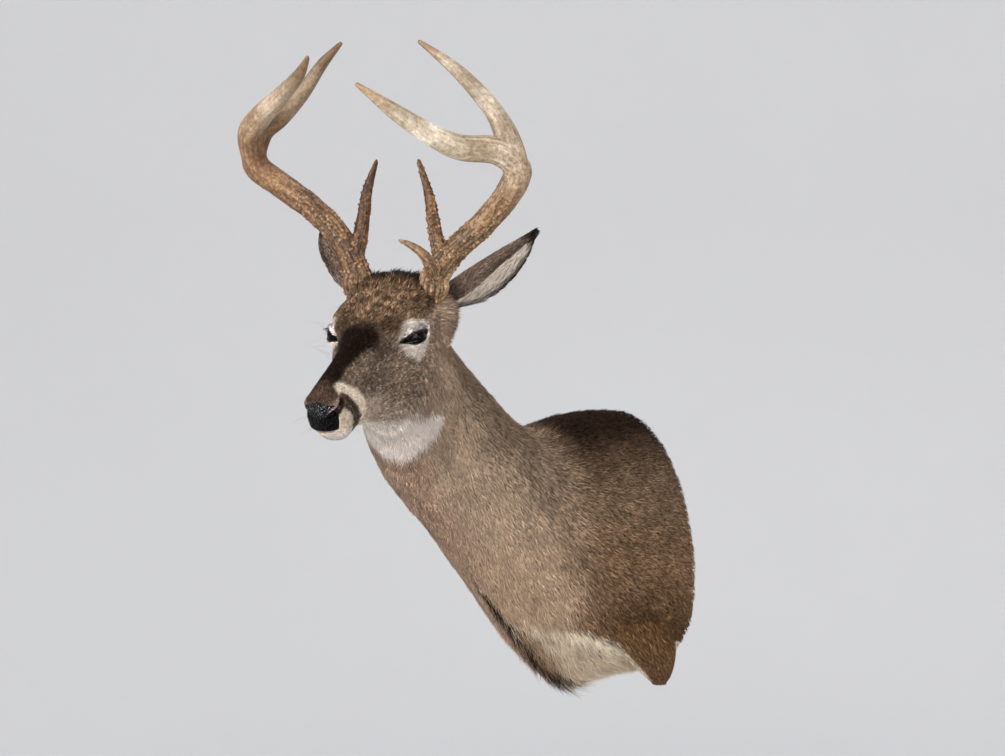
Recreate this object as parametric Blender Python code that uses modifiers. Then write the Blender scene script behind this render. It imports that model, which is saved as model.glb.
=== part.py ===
"""Shoulder mount of a white-tailed deer buck, life size, on its backboard.

The mount hangs on a wall: the board's rear face lies in the plane y = 0, the deer looks along -Y with its head
turned to its own left (+X), and the origin is at the middle of the board's rear face. Flesh is one loft that
runs from the wall through trunk, neck and head to the nose, parted by thin cuts.

Lengths in the tables are in centimetres. "Forward" is the distance from the wall measured along the bent neck,
and the head's own axes are along (eyes to nose), left and up, from the point midway between the eyes.
"""

import math

import bmesh
import bpy
import numpy as np
from mathutils import Matrix, Vector

CM = 0.01
GAP = 0.0004
SHARP = math.radians(50)
SAME_POINT = 0.00001

# The turn of the neck and the pose of the head.
TURN = math.radians(29.0)
TURN_START = 34.5
TURN_END = 44.5
# The neck's middle line is worked out from just behind the wall to beyond the nose, in half-millimetre steps.
LINE_START = -2.0
LINE_END = 80.0
LINE_POINTS = 1641
ROLL = math.radians(1.5)
HEAD_PITCH = math.radians(25.5)
EYE_FORWARD = 54.3
EYE_HEIGHT = 30.8

# Trunk and neck sections: forward and height of the top point, the same of the bottom point, half width,
# height of the widest place as a share of the section, and roundness above and below it (2 is an ellipse).
BODY_SECTIONS = (
    (0.06, 19.5, 0.06, -20.0, 15.9, 0.37, 2.0, 2.4),
    (4.0, 19.8, 4.5, -20.4, 16.3, 0.38, 2.0, 2.1),
    (8.5, 19.7, 9.2, -20.9, 16.3, 0.39, 2.0, 1.75),
    (13.0, 19.2, 13.4, -20.7, 15.8, 0.40, 1.95, 1.6),
    (17.0, 18.3, 17.8, -17.4, 14.8, 0.41, 1.95, 1.6),
    (21.0, 18.0, 22.6, -12.0, 13.0, 0.42, 1.9, 1.65),
    (25.0, 20.2, 28.8, -5.5, 11.0, 0.43, 1.9, 1.75),
    (29.0, 23.9, 34.8, 1.3, 9.3, 0.44, 1.9, 1.85),
    (33.0, 27.8, 40.3, 7.3, 8.0, 0.45, 1.9, 1.9),
    (37.0, 31.6, 45.2, 12.7, 7.2, 0.46, 1.95, 1.95),
    (40.6, 35.0, 48.8, 16.5, 6.8, 0.47, 2.0, 2.0),
)
# Head sections, the same but with the points given along and above the head's axis.
HEAD_SECTIONS = (
    (-12.9, 2.0, 2.4, -12.5, 6.4, 0.52, 2.1, 2.0),
    (-10.8, 4.2, 2.9, -11.8, 6.1, 0.60, 2.3, 1.9),
    (-7.2, 5.2, 3.4, -11.1, 6.0, 0.66, 2.5, 1.8),
    (-3.4, 5.1, 4.0, -10.4, 6.1, 0.68, 2.6, 1.75),
    (0.0, 4.4, 4.8, -9.7, 5.7, 0.66, 2.4, 1.8),
    (3.0, 3.7, 5.8, -9.0, 4.8, 0.59, 2.0, 1.9),
    (6.3, 3.1, 7.8, -8.1, 3.7, 0.52, 1.8, 2.0),
    (10.2, 2.7, 10.6, -7.2, 2.9, 0.49, 1.8, 2.1),
    (13.6, 2.4, 13.4, -6.5, 2.5, 0.48, 1.9, 2.2),
    (16.2, 2.0, 15.6, -6.0, 2.45, 0.48, 2.0, 2.3),
    (17.6, 1.5, 16.9, -5.2, 2.2, 0.50, 2.1, 2.2),
    (18.4, 0.7, 17.9, -4.2, 1.8, 0.50, 2.1, 2.1),
    (18.9, -0.3, 18.6, -3.0, 1.0, 0.50, 2.0, 2.0),
)
NOSE_TIP = (19.1, 0.0, -1.6)
# Swellings (+) and hollows (-) of the head: place (along, left, up), radii the same way, height.
HEAD_FORMS = (
    ("brow", (0.2, 5.4, 2.4), (3.0, 1.6, 1.3), 0.55),
    ("socket front", (3.3, 4.8, -0.2), (1.9, 1.6, 1.5), -0.5),
    ("cheekbone", (0.5, 5.6, -3.0), (3.6, 1.8, 1.2), 0.35),
    ("jaw muscle", (-0.5, 4.8, -7.0), (3.4, 2.5, 2.6), 0.55),
    ("muzzle side", (8.5, 3.8, -0.8), (2.6, 1.8, 1.8), -0.30),
    ("nostril", (17.5, 2.0, 0.0), (1.1, 0.9, 0.9), 0.25),
    ("upper lip", (16.0, 2.4, -2.8), (1.8, 1.2, 1.0), 0.25),
    ("antler root", (-8.6, 4.9, 4.6), (2.1, 1.9, 2.0), 0.8),
    ("ear root", (-11.5, 6.2, 1.2), (2.4, 2.0, 2.4), 0.7),
    ("under the ear", (-12.0, 6.2, -2.4), (2.6, 2.2, 2.6), 1.0),
    ("chin", (15.4, 1.0, -5.6), (1.7, 1.6, 0.9), 0.25),
    ("behind the chin", (11.6, 1.0, -6.8), (1.7, 1.8, 1.2), -0.3),
)

# Where the loft is parted, in sections from the wall (0) to the last one at the nose.
NECK_CUT = 4.6
HEAD_CUT = 10.6
CUT_HALF = 0.008

EYE_RADIUS = 1.75
EYE_AROUND = 16
EYE_ROWS = 8
EYE_PLACE = (-0.2, 5.0, 0.3)

# Ear: base, tip, and the way its hollow faces (along, left, up). Its flat half width tapers towards the tip, and
# is a little less at the base.
EAR_BASE = (-12.3, 3.1, 0.6)
EAR_TIP = (-22.0, 15.8, 6.2)
EAR_OPEN = (0.54, 0.65, -0.54)
EAR_HALF_WIDTH = 5.2
EAR_TIP_HALF_WIDTH = 0.45
EAR_BASE_NARROW = 0.72
EAR_TAPER = 3.5
# Half the angle that its section curls round, and what is added at the base, dying out over a share of the length.
EAR_CURL = 1.6
EAR_BASE_CURL = 1.1
EAR_BASE_SHARE = 0.35
EAR_LEAST_RADIUS = 1.6
EAR_THICKNESS = 0.35
EAR_ALONG = 12
EAR_ACROSS = 9

# Antlers: for each tine its places (along, left, up) and radius, from where it grows out to its tip.
ANTLER_LEFT = {
    "beam": (
        (-8.0, 5.1, 2.0, 1.9),
        (-8.3, 5.4, 3.7, 2.5),
        (-8.8, 5.9, 5.1, 1.8),
        (-9.9, 8.2, 7.9, 1.6),
        (-10.7, 12.2, 11.2, 1.6),
        (-11.1, 15.8, 14.8, 1.7),
        (-10.9, 17.9, 18.0, 1.85),
        (-10.7, 17.9, 19.5, 1.6),
        (-10.6, 17.8, 20.6, 0.8),
    ),
    "main": (
        (-10.8, 18.0, 19.2, 1.5),
        (-9.4, 16.0, 21.8, 1.7),
        (-7.6, 12.0, 22.9, 1.6),
        (-5.8, 8.7, 25.5, 1.3),
        (-4.0, 5.3, 29.1, 0.95),
        (-2.4, 2.0, 32.8, 0.3),
    ),
    "second": (
        (-10.6, 17.9, 19.4, 1.4),
        (-11.0, 17.2, 22.4, 1.5),
        (-12.1, 15.7, 25.4, 1.25),
        (-13.6, 12.7, 28.5, 1.05),
        (-15.0, 9.3, 31.2, 0.8),
        (-16.1, 5.1, 34.0, 0.3),
    ),
    "brow": (
        (-9.2, 6.8, 5.6, 1.0),
        (-10.6, 5.9, 9.2, 0.92),
        (-12.0, 5.2, 11.6, 0.82),
        (-13.5, 4.5, 14.3, 0.65),
        (-15.3, 3.0, 18.5, 0.28),
    ),
    "kicker": (
        (-8.2, 5.7, 4.9, 0.8),
        (-6.5, 6.4, 6.2, 0.8),
        (-5.8, 6.1, 8.8, 0.68),
        (-5.2, 4.8, 10.6, 0.5),
        (-4.6, 3.3, 11.7, 0.25),
    ),
}
ANTLER_RIGHT = {
    "beam": (
        (-8.0, -5.1, 2.0, 1.9),
        (-8.3, -5.3, 3.8, 2.5),
        (-8.9, -5.5, 5.3, 1.8),
        (-10.2, -7.6, 9.5, 1.6),
        (-11.1, -10.9, 12.9, 1.6),
        (-11.6, -15.0, 16.0, 1.7),
        (-11.6, -18.3, 18.6, 1.8),
        (-11.5, -18.8, 20.1, 1.6),
        (-11.4, -19.0, 21.2, 0.8),
    ),
    "main": (
        (-11.5, -18.8, 19.8, 1.4),
        (-10.9, -18.3, 23.8, 1.7),
        (-9.4, -15.4, 26.8, 1.45),
        (-7.2, -10.4, 30.5, 1.05),
        (-5.6, -7.0, 33.2, 0.75),
        (-4.4, -4.8, 35.7, 0.3),
    ),
    "second": (
        (-11.6, -18.9, 20.0, 1.3),
        (-12.6, -17.4, 23.5, 1.35),
        (-13.6, -15.0, 25.1, 1.2),
        (-14.9, -11.8, 28.0, 1.0),
        (-15.8, -8.8, 31.4, 0.75),
        (-16.6, -5.9, 34.0, 0.3),
    ),
    "brow": (
        (-9.2, -6.1, 5.4, 1.1),
        (-10.6, -5.1, 9.1, 1.0),
        (-12.2, -4.7, 12.0, 0.85),
        (-13.8, -4.3, 14.9, 0.65),
        (-15.3, -3.0, 18.5, 0.28),
    ),
}
TINE_BEVEL = 3
TINE_STEPS = {"beam": 17, "main": 12, "second": 12, "brow": 9, "kicker": 8}

# Foreleg stub: forward, side and height of its middle line, half width and half depth, from shoulder to tip.
LEG_SECTIONS = (
    (9.0, 10.2, -8.0, 4.0, 6.5),
    (7.6, 10.8, -12.0, 4.4, 6.8),
    (5.8, 11.2, -15.6, 3.9, 5.4),
    (4.2, 11.3, -18.4, 2.7, 3.6),
    (3.1, 11.1, -20.6, 1.6, 2.0),
    (2.6, 10.9, -21.7, 0.8, 0.9),
)
LEG_AROUND = 20
LEG_ALONG = 14

BOARD_THICKNESS = 1.2
BOARD_SHARE = 0.86
BOARD_POINTS = 48

ALONG_TRUNK = 12
ALONG_NECK = 13
ALONG_HEAD = 28
AROUND = 36


def clear_scene():
    for obj in list(bpy.data.objects):
        bpy.data.objects.remove(obj, do_unlink=True)


def collection(name):
    made = bpy.data.collections.new(name)
    bpy.context.scene.collection.children.link(made)
    return made


def material(name, colour, roughness):
    made = bpy.data.materials.new(name)
    made.use_nodes = True
    shader = made.node_tree.nodes["Principled BSDF"]
    shader.inputs["Base Color"].default_value = (*colour, 1.0)
    shader.inputs["Roughness"].default_value = roughness
    shader.inputs["Metallic"].default_value = 0.0
    made.diffuse_color = (*colour, 1.0)
    return made


# ---- the bent frame that trunk, neck and head are laid out in ----


def smooth_step(value):
    value = np.clip(value, 0.0, 1.0)
    return value * value * (3.0 - 2.0 * value)


def turn_table():
    """Forward distance, sideways and forward place of the neck's middle line seen from above."""
    along = np.linspace(LINE_START, LINE_END, LINE_POINTS)
    heading = TURN * smooth_step((along - TURN_START) / (TURN_END - TURN_START))
    step = np.diff(along)
    middle = 0.5 * (heading[1:] + heading[:-1])
    side = np.concatenate(([0.0], np.cumsum(np.sin(middle) * step)))
    ahead = LINE_START + np.concatenate(([0.0], np.cumsum(np.cos(middle) * step)))
    return along, side, ahead


TURN_TABLE = turn_table()


def turned(line_side, line_ahead, side, height, share):
    """World place, in metres, of a point beside and above a place on the neck's middle line."""
    heading = TURN * share
    roll = ROLL * share
    up = height - EYE_HEIGHT
    aside = side * np.cos(roll) + up * np.sin(roll)
    x = line_side + aside * np.cos(heading)
    y = -line_ahead + aside * np.sin(heading)
    z = EYE_HEIGHT + up * np.cos(roll) - side * np.sin(roll)
    return np.stack([x, y, z], axis=-1) * CM


def bend(forward, side, height):
    """World place of a point of the bent flesh, given in the unbent frame."""
    along, line_side, line_ahead = TURN_TABLE
    share = smooth_step((forward - TURN_START) / (TURN_END - TURN_START))
    at_side = np.interp(forward, along, line_side)
    at_ahead = np.interp(forward, along, line_ahead)
    return turned(at_side, at_ahead, side, height, share)


def side_view(along, up):
    """Forward distance and height of a point of the head's own axes."""
    forward = EYE_FORWARD + along * math.cos(HEAD_PITCH) + up * math.sin(HEAD_PITCH)
    height = EYE_HEIGHT - along * math.sin(HEAD_PITCH) + up * math.cos(HEAD_PITCH)
    return forward, height


def head_place(along, left, up):
    """World place of a point of the head's own axes, which stay straight however far back they reach."""
    forward, height = side_view(np.asarray(along, float), np.asarray(up, float))
    table, line_side, line_ahead = TURN_TABLE
    beyond = forward - TURN_END
    at_side = np.interp(TURN_END, table, line_side) + beyond * math.sin(TURN)
    at_ahead = np.interp(TURN_END, table, line_ahead) + beyond * math.cos(TURN)
    return turned(at_side, at_ahead, np.asarray(left, float), height, 1.0)


def head_axes(forward, height):
    """The head's along and up of a point given by its forward distance and height."""
    ahead = forward - EYE_FORWARD
    above = height - EYE_HEIGHT
    along = ahead * math.cos(HEAD_PITCH) - above * math.sin(HEAD_PITCH)
    up = ahead * math.sin(HEAD_PITCH) + above * math.cos(HEAD_PITCH)
    return along, up


def all_sections():
    rows = [list(row) for row in BODY_SECTIONS]
    for top_along, top_up, low_along, low_up, *shape in HEAD_SECTIONS:
        rows.append([*side_view(top_along, top_up), *side_view(low_along, low_up), *shape])
    return np.array(rows)


SECTIONS = all_sections()
LAST = len(SECTIONS) - 1


def smooth_rows(rows, place):
    """Row values at any place between the rows, by a smooth curve through them."""
    rows = np.asarray(rows, float)
    last = len(rows) - 1
    place = np.clip(place, 0.0, last)
    index = np.clip(np.floor(place).astype(int), 0, last - 1)
    share = (place - index)[:, None]
    before = rows[np.maximum(index - 1, 0)]
    start = rows[index]
    end = rows[index + 1]
    after = rows[np.minimum(index + 2, last)]
    slope_start = 0.5 * (end - before)
    slope_end = 0.5 * (after - start)
    square = share * share
    cube = square * share
    return (
        (2 * cube - 3 * square + 1) * start
        + (cube - 2 * square + share) * slope_start
        + (-2 * cube + 3 * square) * end
        + (cube - square) * slope_end
    )


def power(value, exponent):
    return np.sign(value) * np.abs(value) ** exponent


def head_form(along, left, up):
    """How far the head's swellings and hollows move the surface out."""
    total = np.zeros_like(along)
    for _, place, radii, height in HEAD_FORMS:
        far = (
            ((along - place[0]) / radii[0]) ** 2
            + ((np.abs(left) - place[1]) / radii[1]) ** 2
            + ((up - place[2]) / radii[2]) ** 2
        )
        total += height * np.exp(-far)
    return total


def flesh(place, angle, grow=0.0):
    """World places of the flesh surface. place runs wall to nose, angle 0 is the top and pi the underside."""
    place, angle = np.broadcast_arrays(np.asarray(place, float), np.asarray(angle, float))
    shape = place.shape
    rows = smooth_rows(SECTIONS, place.ravel())
    turn = angle.ravel()
    top = rows[:, 0:2]
    low = rows[:, 2:4]
    half_width, widest, upper, lower = rows[:, 4:].T
    depth = np.linalg.norm(top - low, axis=1)
    way = (top - low) / depth[:, None]
    roundness = np.where(np.cos(turn) >= 0.0, upper, lower)
    reach = np.where(np.cos(turn) >= 0.0, 1.0 - widest, widest) * depth
    side = half_width * power(np.sin(turn), 2.0 / roundness)
    rise = reach * power(np.cos(turn), 2.0 / roundness)
    normal = np.stack([np.sin(turn) / half_width, np.cos(turn) / reach], axis=1)
    normal /= np.linalg.norm(normal, axis=1)[:, None]
    base = low + way * (widest * depth + rise)[:, None]
    along, up = head_axes(base[:, 0], base[:, 1])
    out = head_form(along, side, up) + grow
    side = side + normal[:, 0] * out
    base = base + way * (normal[:, 1] * out)[:, None]
    points = bend(base[:, 0], side, base[:, 1])
    return points.reshape(*shape, 3)


# ---- mesh helpers ----


def object_from(mesh, name, home, skin=None):
    made = bpy.data.objects.new(name, mesh)
    home.objects.link(made)
    if skin is not None:
        mesh.materials.append(skin)
    return made


def as_cutter(obj):
    obj.hide_render = True
    obj.display_type = "WIRE"
    return obj


def loft_mesh(name, rings, start_tip=None, end_tip=None):
    """Closed mesh through rings of points of equal count. A tip closes an end with a fan, else one flat face does."""
    mesh = bpy.data.meshes.new(name)
    builder = bmesh.new()
    loops = [[builder.verts.new(point) for point in ring] for ring in rings]
    count = len(loops[0])
    for near, far in zip(loops, loops[1:]):
        for step in range(count):
            following = (step + 1) % count
            builder.faces.new((near[step], near[following], far[following], far[step]))
    for loop, tip in ((loops[0], start_tip), (loops[-1], end_tip)):
        if tip is None:
            tip = sum((Vector(vert.co) for vert in loop), Vector()) / count
        centre = builder.verts.new(tip)
        for step in range(count):
            builder.faces.new((loop[step], loop[(step + 1) % count], centre))
    bmesh.ops.recalc_face_normals(builder, faces=builder.faces)
    if builder.calc_volume(signed=True) < 0:
        bmesh.ops.reverse_faces(builder, faces=builder.faces)
    builder.to_mesh(mesh)
    builder.free()
    mesh.shade_smooth()
    mesh.set_sharp_from_angle(angle=SHARP)
    return mesh


def cut(obj, tool):
    """Cuts tool out of obj for good."""
    modifier = obj.modifiers.new("cut", "BOOLEAN")
    modifier.operation = "DIFFERENCE"
    modifier.solver = "EXACT"
    modifier.object = tool


def flesh_piece(name, places, home, skin=None, grow=0.0, tip=None):
    angles = np.linspace(0.0, 2 * math.pi, AROUND, endpoint=False)
    rings = flesh(places[:, None], angles[None, :], grow)
    return object_from(loft_mesh(name, rings, end_tip=tip), name, home, skin)


# ---- ears ----


def unit(vector):
    return vector / np.linalg.norm(vector)


def ear_surface(side, share, across):
    """World places on the ear's outer face: share runs base to tip, across edge to edge (-1 to 1)."""
    base = np.array(EAR_BASE)
    reach = np.array(EAR_TIP) - base
    length = np.linalg.norm(reach)
    point = reach / length
    opening = np.array(EAR_OPEN)
    opening = unit(opening - point * (opening @ point))
    cross = np.cross(point, opening)
    narrow = EAR_BASE_NARROW + (1.0 - EAR_BASE_NARROW) * np.clip(share / EAR_BASE_SHARE, 0.0, 1.0)
    flat = EAR_HALF_WIDTH * (1.0 - share**EAR_TAPER) * narrow + EAR_TIP_HALF_WIDTH
    curl = EAR_CURL + EAR_BASE_CURL * np.exp(-((share / EAR_BASE_SHARE) ** 2))
    radius = np.maximum(flat / curl, EAR_LEAST_RADIUS)
    angle = flat / radius * across
    out = radius * (1.0 - np.cos(angle))
    aside = radius * np.sin(angle)
    spot = base + point * (length * share)[..., None]
    spot = spot + opening * out[..., None] + cross * aside[..., None]
    return head_place(spot[..., 0], side * spot[..., 1], spot[..., 2])


def ear_sheet(name, side):
    """The ear's outer face as an open sheet, which Solidify thickens into the hollow."""
    shares = np.linspace(0.0, 1.0, EAR_ALONG)[:, None] * np.ones((1, EAR_ACROSS))
    across = np.ones((EAR_ALONG, 1)) * np.linspace(-1.0, 1.0, EAR_ACROSS)
    places = ear_surface(side, shares, across)
    builder = bmesh.new()
    rows = [[builder.verts.new(place) for place in line] for line in places]
    for near, far in zip(rows, rows[1:]):
        for step in range(EAR_ACROSS - 1):
            corners = (near[step], near[step + 1], far[step + 1], far[step])
            builder.faces.new(corners if side < 0 else corners[::-1])
    mesh = bpy.data.meshes.new(name)
    builder.to_mesh(mesh)
    builder.free()
    return mesh


# ---- antlers ----


def tine_mesh(name, rows, steps, grow=0.0):
    """A tapering round tine as a bevelled curve, made a mesh so that it can be cut."""
    line = smooth_rows(rows, np.linspace(0.0, len(rows) - 1, steps))
    curve = bpy.data.curves.new(name, "CURVE")
    curve.dimensions = "3D"
    curve.twist_mode = "MINIMUM"
    curve.bevel_depth = CM
    curve.bevel_resolution = TINE_BEVEL
    curve.use_fill_caps = True
    spline = curve.splines.new("POLY")
    spline.points.add(steps - 1)
    for point, row in zip(spline.points, line):
        point.co = (*head_place(*row[:3]), 1.0)
        point.radius = row[3] + grow
    return curve_to_mesh(curve, name)


def curve_to_mesh(curve, name):
    holder = bpy.data.objects.new(name, curve)
    bpy.context.scene.collection.objects.link(holder)
    graph = bpy.context.evaluated_depsgraph_get()
    mesh = bpy.data.meshes.new_from_object(holder.evaluated_get(graph))
    bpy.data.objects.remove(holder, do_unlink=True)
    bpy.data.curves.remove(curve)
    mesh.name = name
    builder = bmesh.new()
    builder.from_mesh(mesh)
    bmesh.ops.remove_doubles(builder, verts=builder.verts, dist=SAME_POINT)
    bmesh.ops.recalc_face_normals(builder, faces=builder.faces)
    builder.to_mesh(mesh)
    builder.free()
    mesh.shade_smooth()
    return mesh


def antler(word, tines, parts, helpers, head_tool, bone):
    """One antler: the beam stands on the head, and each tine is cut by what it grows from, less a thin gap."""
    cutters = {}
    for tine, rows in tines.items():
        name = "antler_" + word + "_" + tine
        made = object_from(tine_mesh(name, rows, TINE_STEPS[tine]), name, parts, bone)
        grown = tine_mesh("room_" + name, rows, TINE_STEPS[tine], GAP / CM)
        cutters[tine] = as_cutter(object_from(grown, "room_" + name, helpers))
        if tine == "beam":
            cut(made, head_tool)
        else:
            cut(made, cutters["beam"])
        if tine == "second":
            cut(made, cutters["main"])
        if tine == "kicker":
            cut(made, head_tool)


# ---- foreleg stubs ----


def leg_mesh(name, side):
    angles = np.linspace(0.0, 2 * math.pi, LEG_AROUND, endpoint=False)
    rows = smooth_rows(LEG_SECTIONS, np.linspace(0.0, len(LEG_SECTIONS) - 1, LEG_ALONG))
    forward, middle, height, half_width, half_depth = (rows[:, [index]] for index in range(5))
    rings = np.stack(
        [
            side * (middle + half_width * np.cos(angles)) * CM,
            -(forward + half_depth * np.sin(angles)) * CM,
            height * CM * np.ones((1, LEG_AROUND)),
        ],
        axis=-1,
    )
    return loft_mesh(name, rings)


# ---- backboard ----


def board_mesh(name, grow, thickness):
    """The board as an extruded outline that follows the trunk's section at the wall."""
    angles = np.linspace(0.0, 2 * math.pi, BOARD_POINTS, endpoint=False)
    rim = flesh(0.0, angles)
    centre = rim.mean(axis=0)
    curve = bpy.data.curves.new(name, "CURVE")
    curve.dimensions = "2D"
    curve.fill_mode = "BOTH"
    curve.extrude = 0.5 * thickness
    spline = curve.splines.new("POLY")
    spline.points.add(len(rim) - 1)
    spline.use_cyclic_u = True
    for point, place in zip(spline.points, rim):
        x = place[0] * BOARD_SHARE
        z = centre[2] + (place[2] - centre[2]) * BOARD_SHARE
        away = Vector((x, z - centre[2])).normalized() * grow
        point.co = (x + away.x, z + away.y, 0.0, 1.0)
    mesh = curve_to_mesh(curve, name)
    mesh.transform(Matrix.Rotation(math.pi / 2, 4, "X"))
    mesh.transform(Matrix.Translation((0.0, -0.5 * thickness, 0.0)))
    mesh.shade_flat()
    return mesh


def main():
    clear_scene()
    parts = collection("deer_shoulder_mount")
    helpers = collection("cutters")
    coat = material("coat", (0.22, 0.17, 0.13), 0.9)
    bone = material("antler", (0.45, 0.32, 0.18), 0.6)
    glass = material("glass_eye", (0.012, 0.008, 0.006), 0.05)
    plywood = material("plywood", (0.55, 0.42, 0.27), 0.8)
    nose_end = Vector(head_place(*NOSE_TIP))
    sides = ((1, "left"), (-1, "right"))

    trunk_places = np.linspace(0.0, NECK_CUT - CUT_HALF, ALONG_TRUNK)
    neck_places = np.linspace(NECK_CUT + CUT_HALF, HEAD_CUT - CUT_HALF, ALONG_NECK)
    head_places = np.linspace(HEAD_CUT + CUT_HALF, LAST, ALONG_HEAD)
    trunk = flesh_piece("trunk", trunk_places, parts, coat)
    flesh_piece("neck", neck_places, parts, coat)
    head = flesh_piece("head", head_places, parts, coat, tip=nose_end)
    over_trunk = np.append(trunk_places, neck_places[1])
    trunk_tool = as_cutter(flesh_piece("room_trunk", over_trunk, helpers, grow=GAP / CM))
    over_head = np.append(neck_places[-3:-1], head_places)
    head_tool = as_cutter(flesh_piece("room_head", over_head, helpers, grow=GAP / CM, tip=nose_end))

    thickness = BOARD_THICKNESS * CM
    object_from(board_mesh("backboard", 0.0, thickness), "backboard", parts, plywood)
    pocket = board_mesh("room_board", GAP, 2 * thickness + 2 * GAP)
    pocket.transform(Matrix.Translation((0.0, thickness, 0.0)))
    cut(trunk, as_cutter(object_from(pocket, "room_board", helpers)))

    for side, word in sides:
        leg = object_from(leg_mesh("foreleg_" + word, side), "foreleg_" + word, parts, coat)
        cut(leg, trunk_tool)
        ear = object_from(ear_sheet("ear_" + word, side), "ear_" + word, parts, coat)
        thicken = ear.modifiers.new("thicken", "SOLIDIFY")
        thicken.thickness = EAR_THICKNESS * CM
        thicken.offset = -1.0
        cut(ear, head_tool)
        place = Vector(head_place(EYE_PLACE[0], side * EYE_PLACE[1], EYE_PLACE[2]))
        for name, radius in (("eye_", EYE_RADIUS * CM), ("room_eye_", EYE_RADIUS * CM + GAP)):
            bpy.ops.mesh.primitive_uv_sphere_add(
                segments=EYE_AROUND, ring_count=EYE_ROWS, radius=radius, location=place
            )
            ball = bpy.context.object
            ball.name = name + word
            ball.data.shade_smooth()
            ball.users_collection[0].objects.unlink(ball)
            if name == "eye_":
                parts.objects.link(ball)
                ball.data.materials.append(glass)
            else:
                helpers.objects.link(ball)
                cut(head, as_cutter(ball))
    antler("left", ANTLER_LEFT, parts, helpers, head_tool, bone)
    antler("right", ANTLER_RIGHT, parts, helpers, head_tool, bone)


main()
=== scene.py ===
"""Looks of the white-tailed deer shoulder mount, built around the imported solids.

One skin stands for all the flesh, with ears and foreleg stubs joined to it. Tufts of hair, all of them
solid mesh, lie over it from nose to wall. Antlers, eyes, eyelids and whiskers are pieces of their own.

Lengths are in centimetres, in the same frame as the solids: the board's rear face lies in y = 0 and the
deer looks along -Y, its head turned to its own left (+X). The head's own axes are along (eyes to nose),
left and up, from the point midway between the eyes. A place on the flesh runs from the wall (0) to the
nose (23), and an angle on it from the top (0) round its left side to the underside (pi). A side is 1 for
the left and -1 for the right. Whiskers are measured in metres, and noise scales are lumps to the metre.
"""

import math

import bmesh
import bpy
import numpy as np
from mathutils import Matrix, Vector, kdtree, noise


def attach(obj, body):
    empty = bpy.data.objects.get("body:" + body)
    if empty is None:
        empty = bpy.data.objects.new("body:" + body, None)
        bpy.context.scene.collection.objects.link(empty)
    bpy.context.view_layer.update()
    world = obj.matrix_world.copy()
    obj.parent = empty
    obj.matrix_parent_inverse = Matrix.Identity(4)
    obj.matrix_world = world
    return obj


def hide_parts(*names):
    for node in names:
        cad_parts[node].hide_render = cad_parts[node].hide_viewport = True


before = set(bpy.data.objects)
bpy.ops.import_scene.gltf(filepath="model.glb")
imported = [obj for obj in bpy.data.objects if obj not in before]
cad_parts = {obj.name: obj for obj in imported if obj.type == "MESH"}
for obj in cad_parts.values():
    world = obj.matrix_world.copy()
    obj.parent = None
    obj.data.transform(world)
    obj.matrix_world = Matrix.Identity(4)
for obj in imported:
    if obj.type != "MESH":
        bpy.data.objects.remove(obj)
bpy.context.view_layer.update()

CM = 0.01

# ---- pose and sections, as in the solids ----

TURN = math.radians(29.0)
TURN_START = 34.5
TURN_END = 44.5
ROLL = math.radians(1.5)
HEAD_PITCH = math.radians(25.5)
EYE_FORWARD = 54.3
EYE_HEIGHT = 30.8

# Forward and height of the top point, the same of the bottom point, half width, height of the widest
# place as a share of the section, and roundness above and below it (2 is an ellipse).
BODY_SECTIONS = (
    (0.06, 19.5, 0.06, -20.0, 15.9, 0.37, 2.0, 2.4),
    (4.0, 19.8, 4.5, -20.4, 16.3, 0.38, 2.0, 2.1),
    (8.5, 19.7, 9.2, -20.9, 16.3, 0.39, 2.0, 1.75),
    (13.0, 19.2, 13.4, -20.7, 15.8, 0.40, 1.95, 1.6),
    (17.0, 18.3, 17.8, -17.4, 14.8, 0.41, 1.95, 1.6),
    (21.0, 18.0, 22.6, -12.0, 13.0, 0.42, 1.9, 1.65),
    (25.0, 20.2, 28.8, -5.5, 11.0, 0.43, 1.9, 1.75),
    (29.0, 23.9, 34.8, 1.3, 9.3, 0.44, 1.9, 1.85),
    (33.0, 27.8, 40.3, 7.3, 8.0, 0.45, 1.9, 1.9),
    (37.0, 31.6, 45.2, 12.7, 7.2, 0.46, 1.95, 1.95),
    (40.6, 35.0, 48.8, 16.5, 6.8, 0.47, 2.0, 2.0),
)
# Head sections, the same but with the points given along and above the head's axis.
HEAD_SECTIONS = (
    (-12.9, 2.0, 2.4, -12.5, 6.4, 0.52, 2.1, 2.0),
    (-10.8, 4.2, 2.9, -11.8, 6.1, 0.60, 2.3, 1.9),
    (-7.2, 5.2, 3.4, -11.1, 6.0, 0.66, 2.5, 1.8),
    (-3.4, 5.1, 4.0, -10.4, 6.1, 0.68, 2.6, 1.75),
    (0.0, 4.4, 4.8, -9.7, 5.7, 0.66, 2.4, 1.8),
    (3.0, 3.7, 5.8, -9.0, 4.8, 0.59, 2.0, 1.9),
    (6.3, 3.1, 7.8, -8.1, 3.7, 0.52, 1.8, 2.0),
    (10.2, 2.7, 10.6, -7.2, 2.9, 0.49, 1.8, 2.1),
    (13.6, 2.4, 13.4, -6.5, 2.5, 0.48, 1.9, 2.2),
    (16.2, 2.0, 15.6, -6.0, 2.45, 0.48, 2.0, 2.3),
    (17.6, 1.5, 16.9, -5.2, 2.2, 0.50, 2.1, 2.2),
    (18.4, 0.7, 17.9, -4.2, 1.8, 0.50, 2.1, 2.1),
    (18.9, -0.3, 18.6, -3.0, 1.0, 0.50, 2.0, 2.0),
)
NOSE_TIP = (19.05, 0.0, -1.6)
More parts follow.
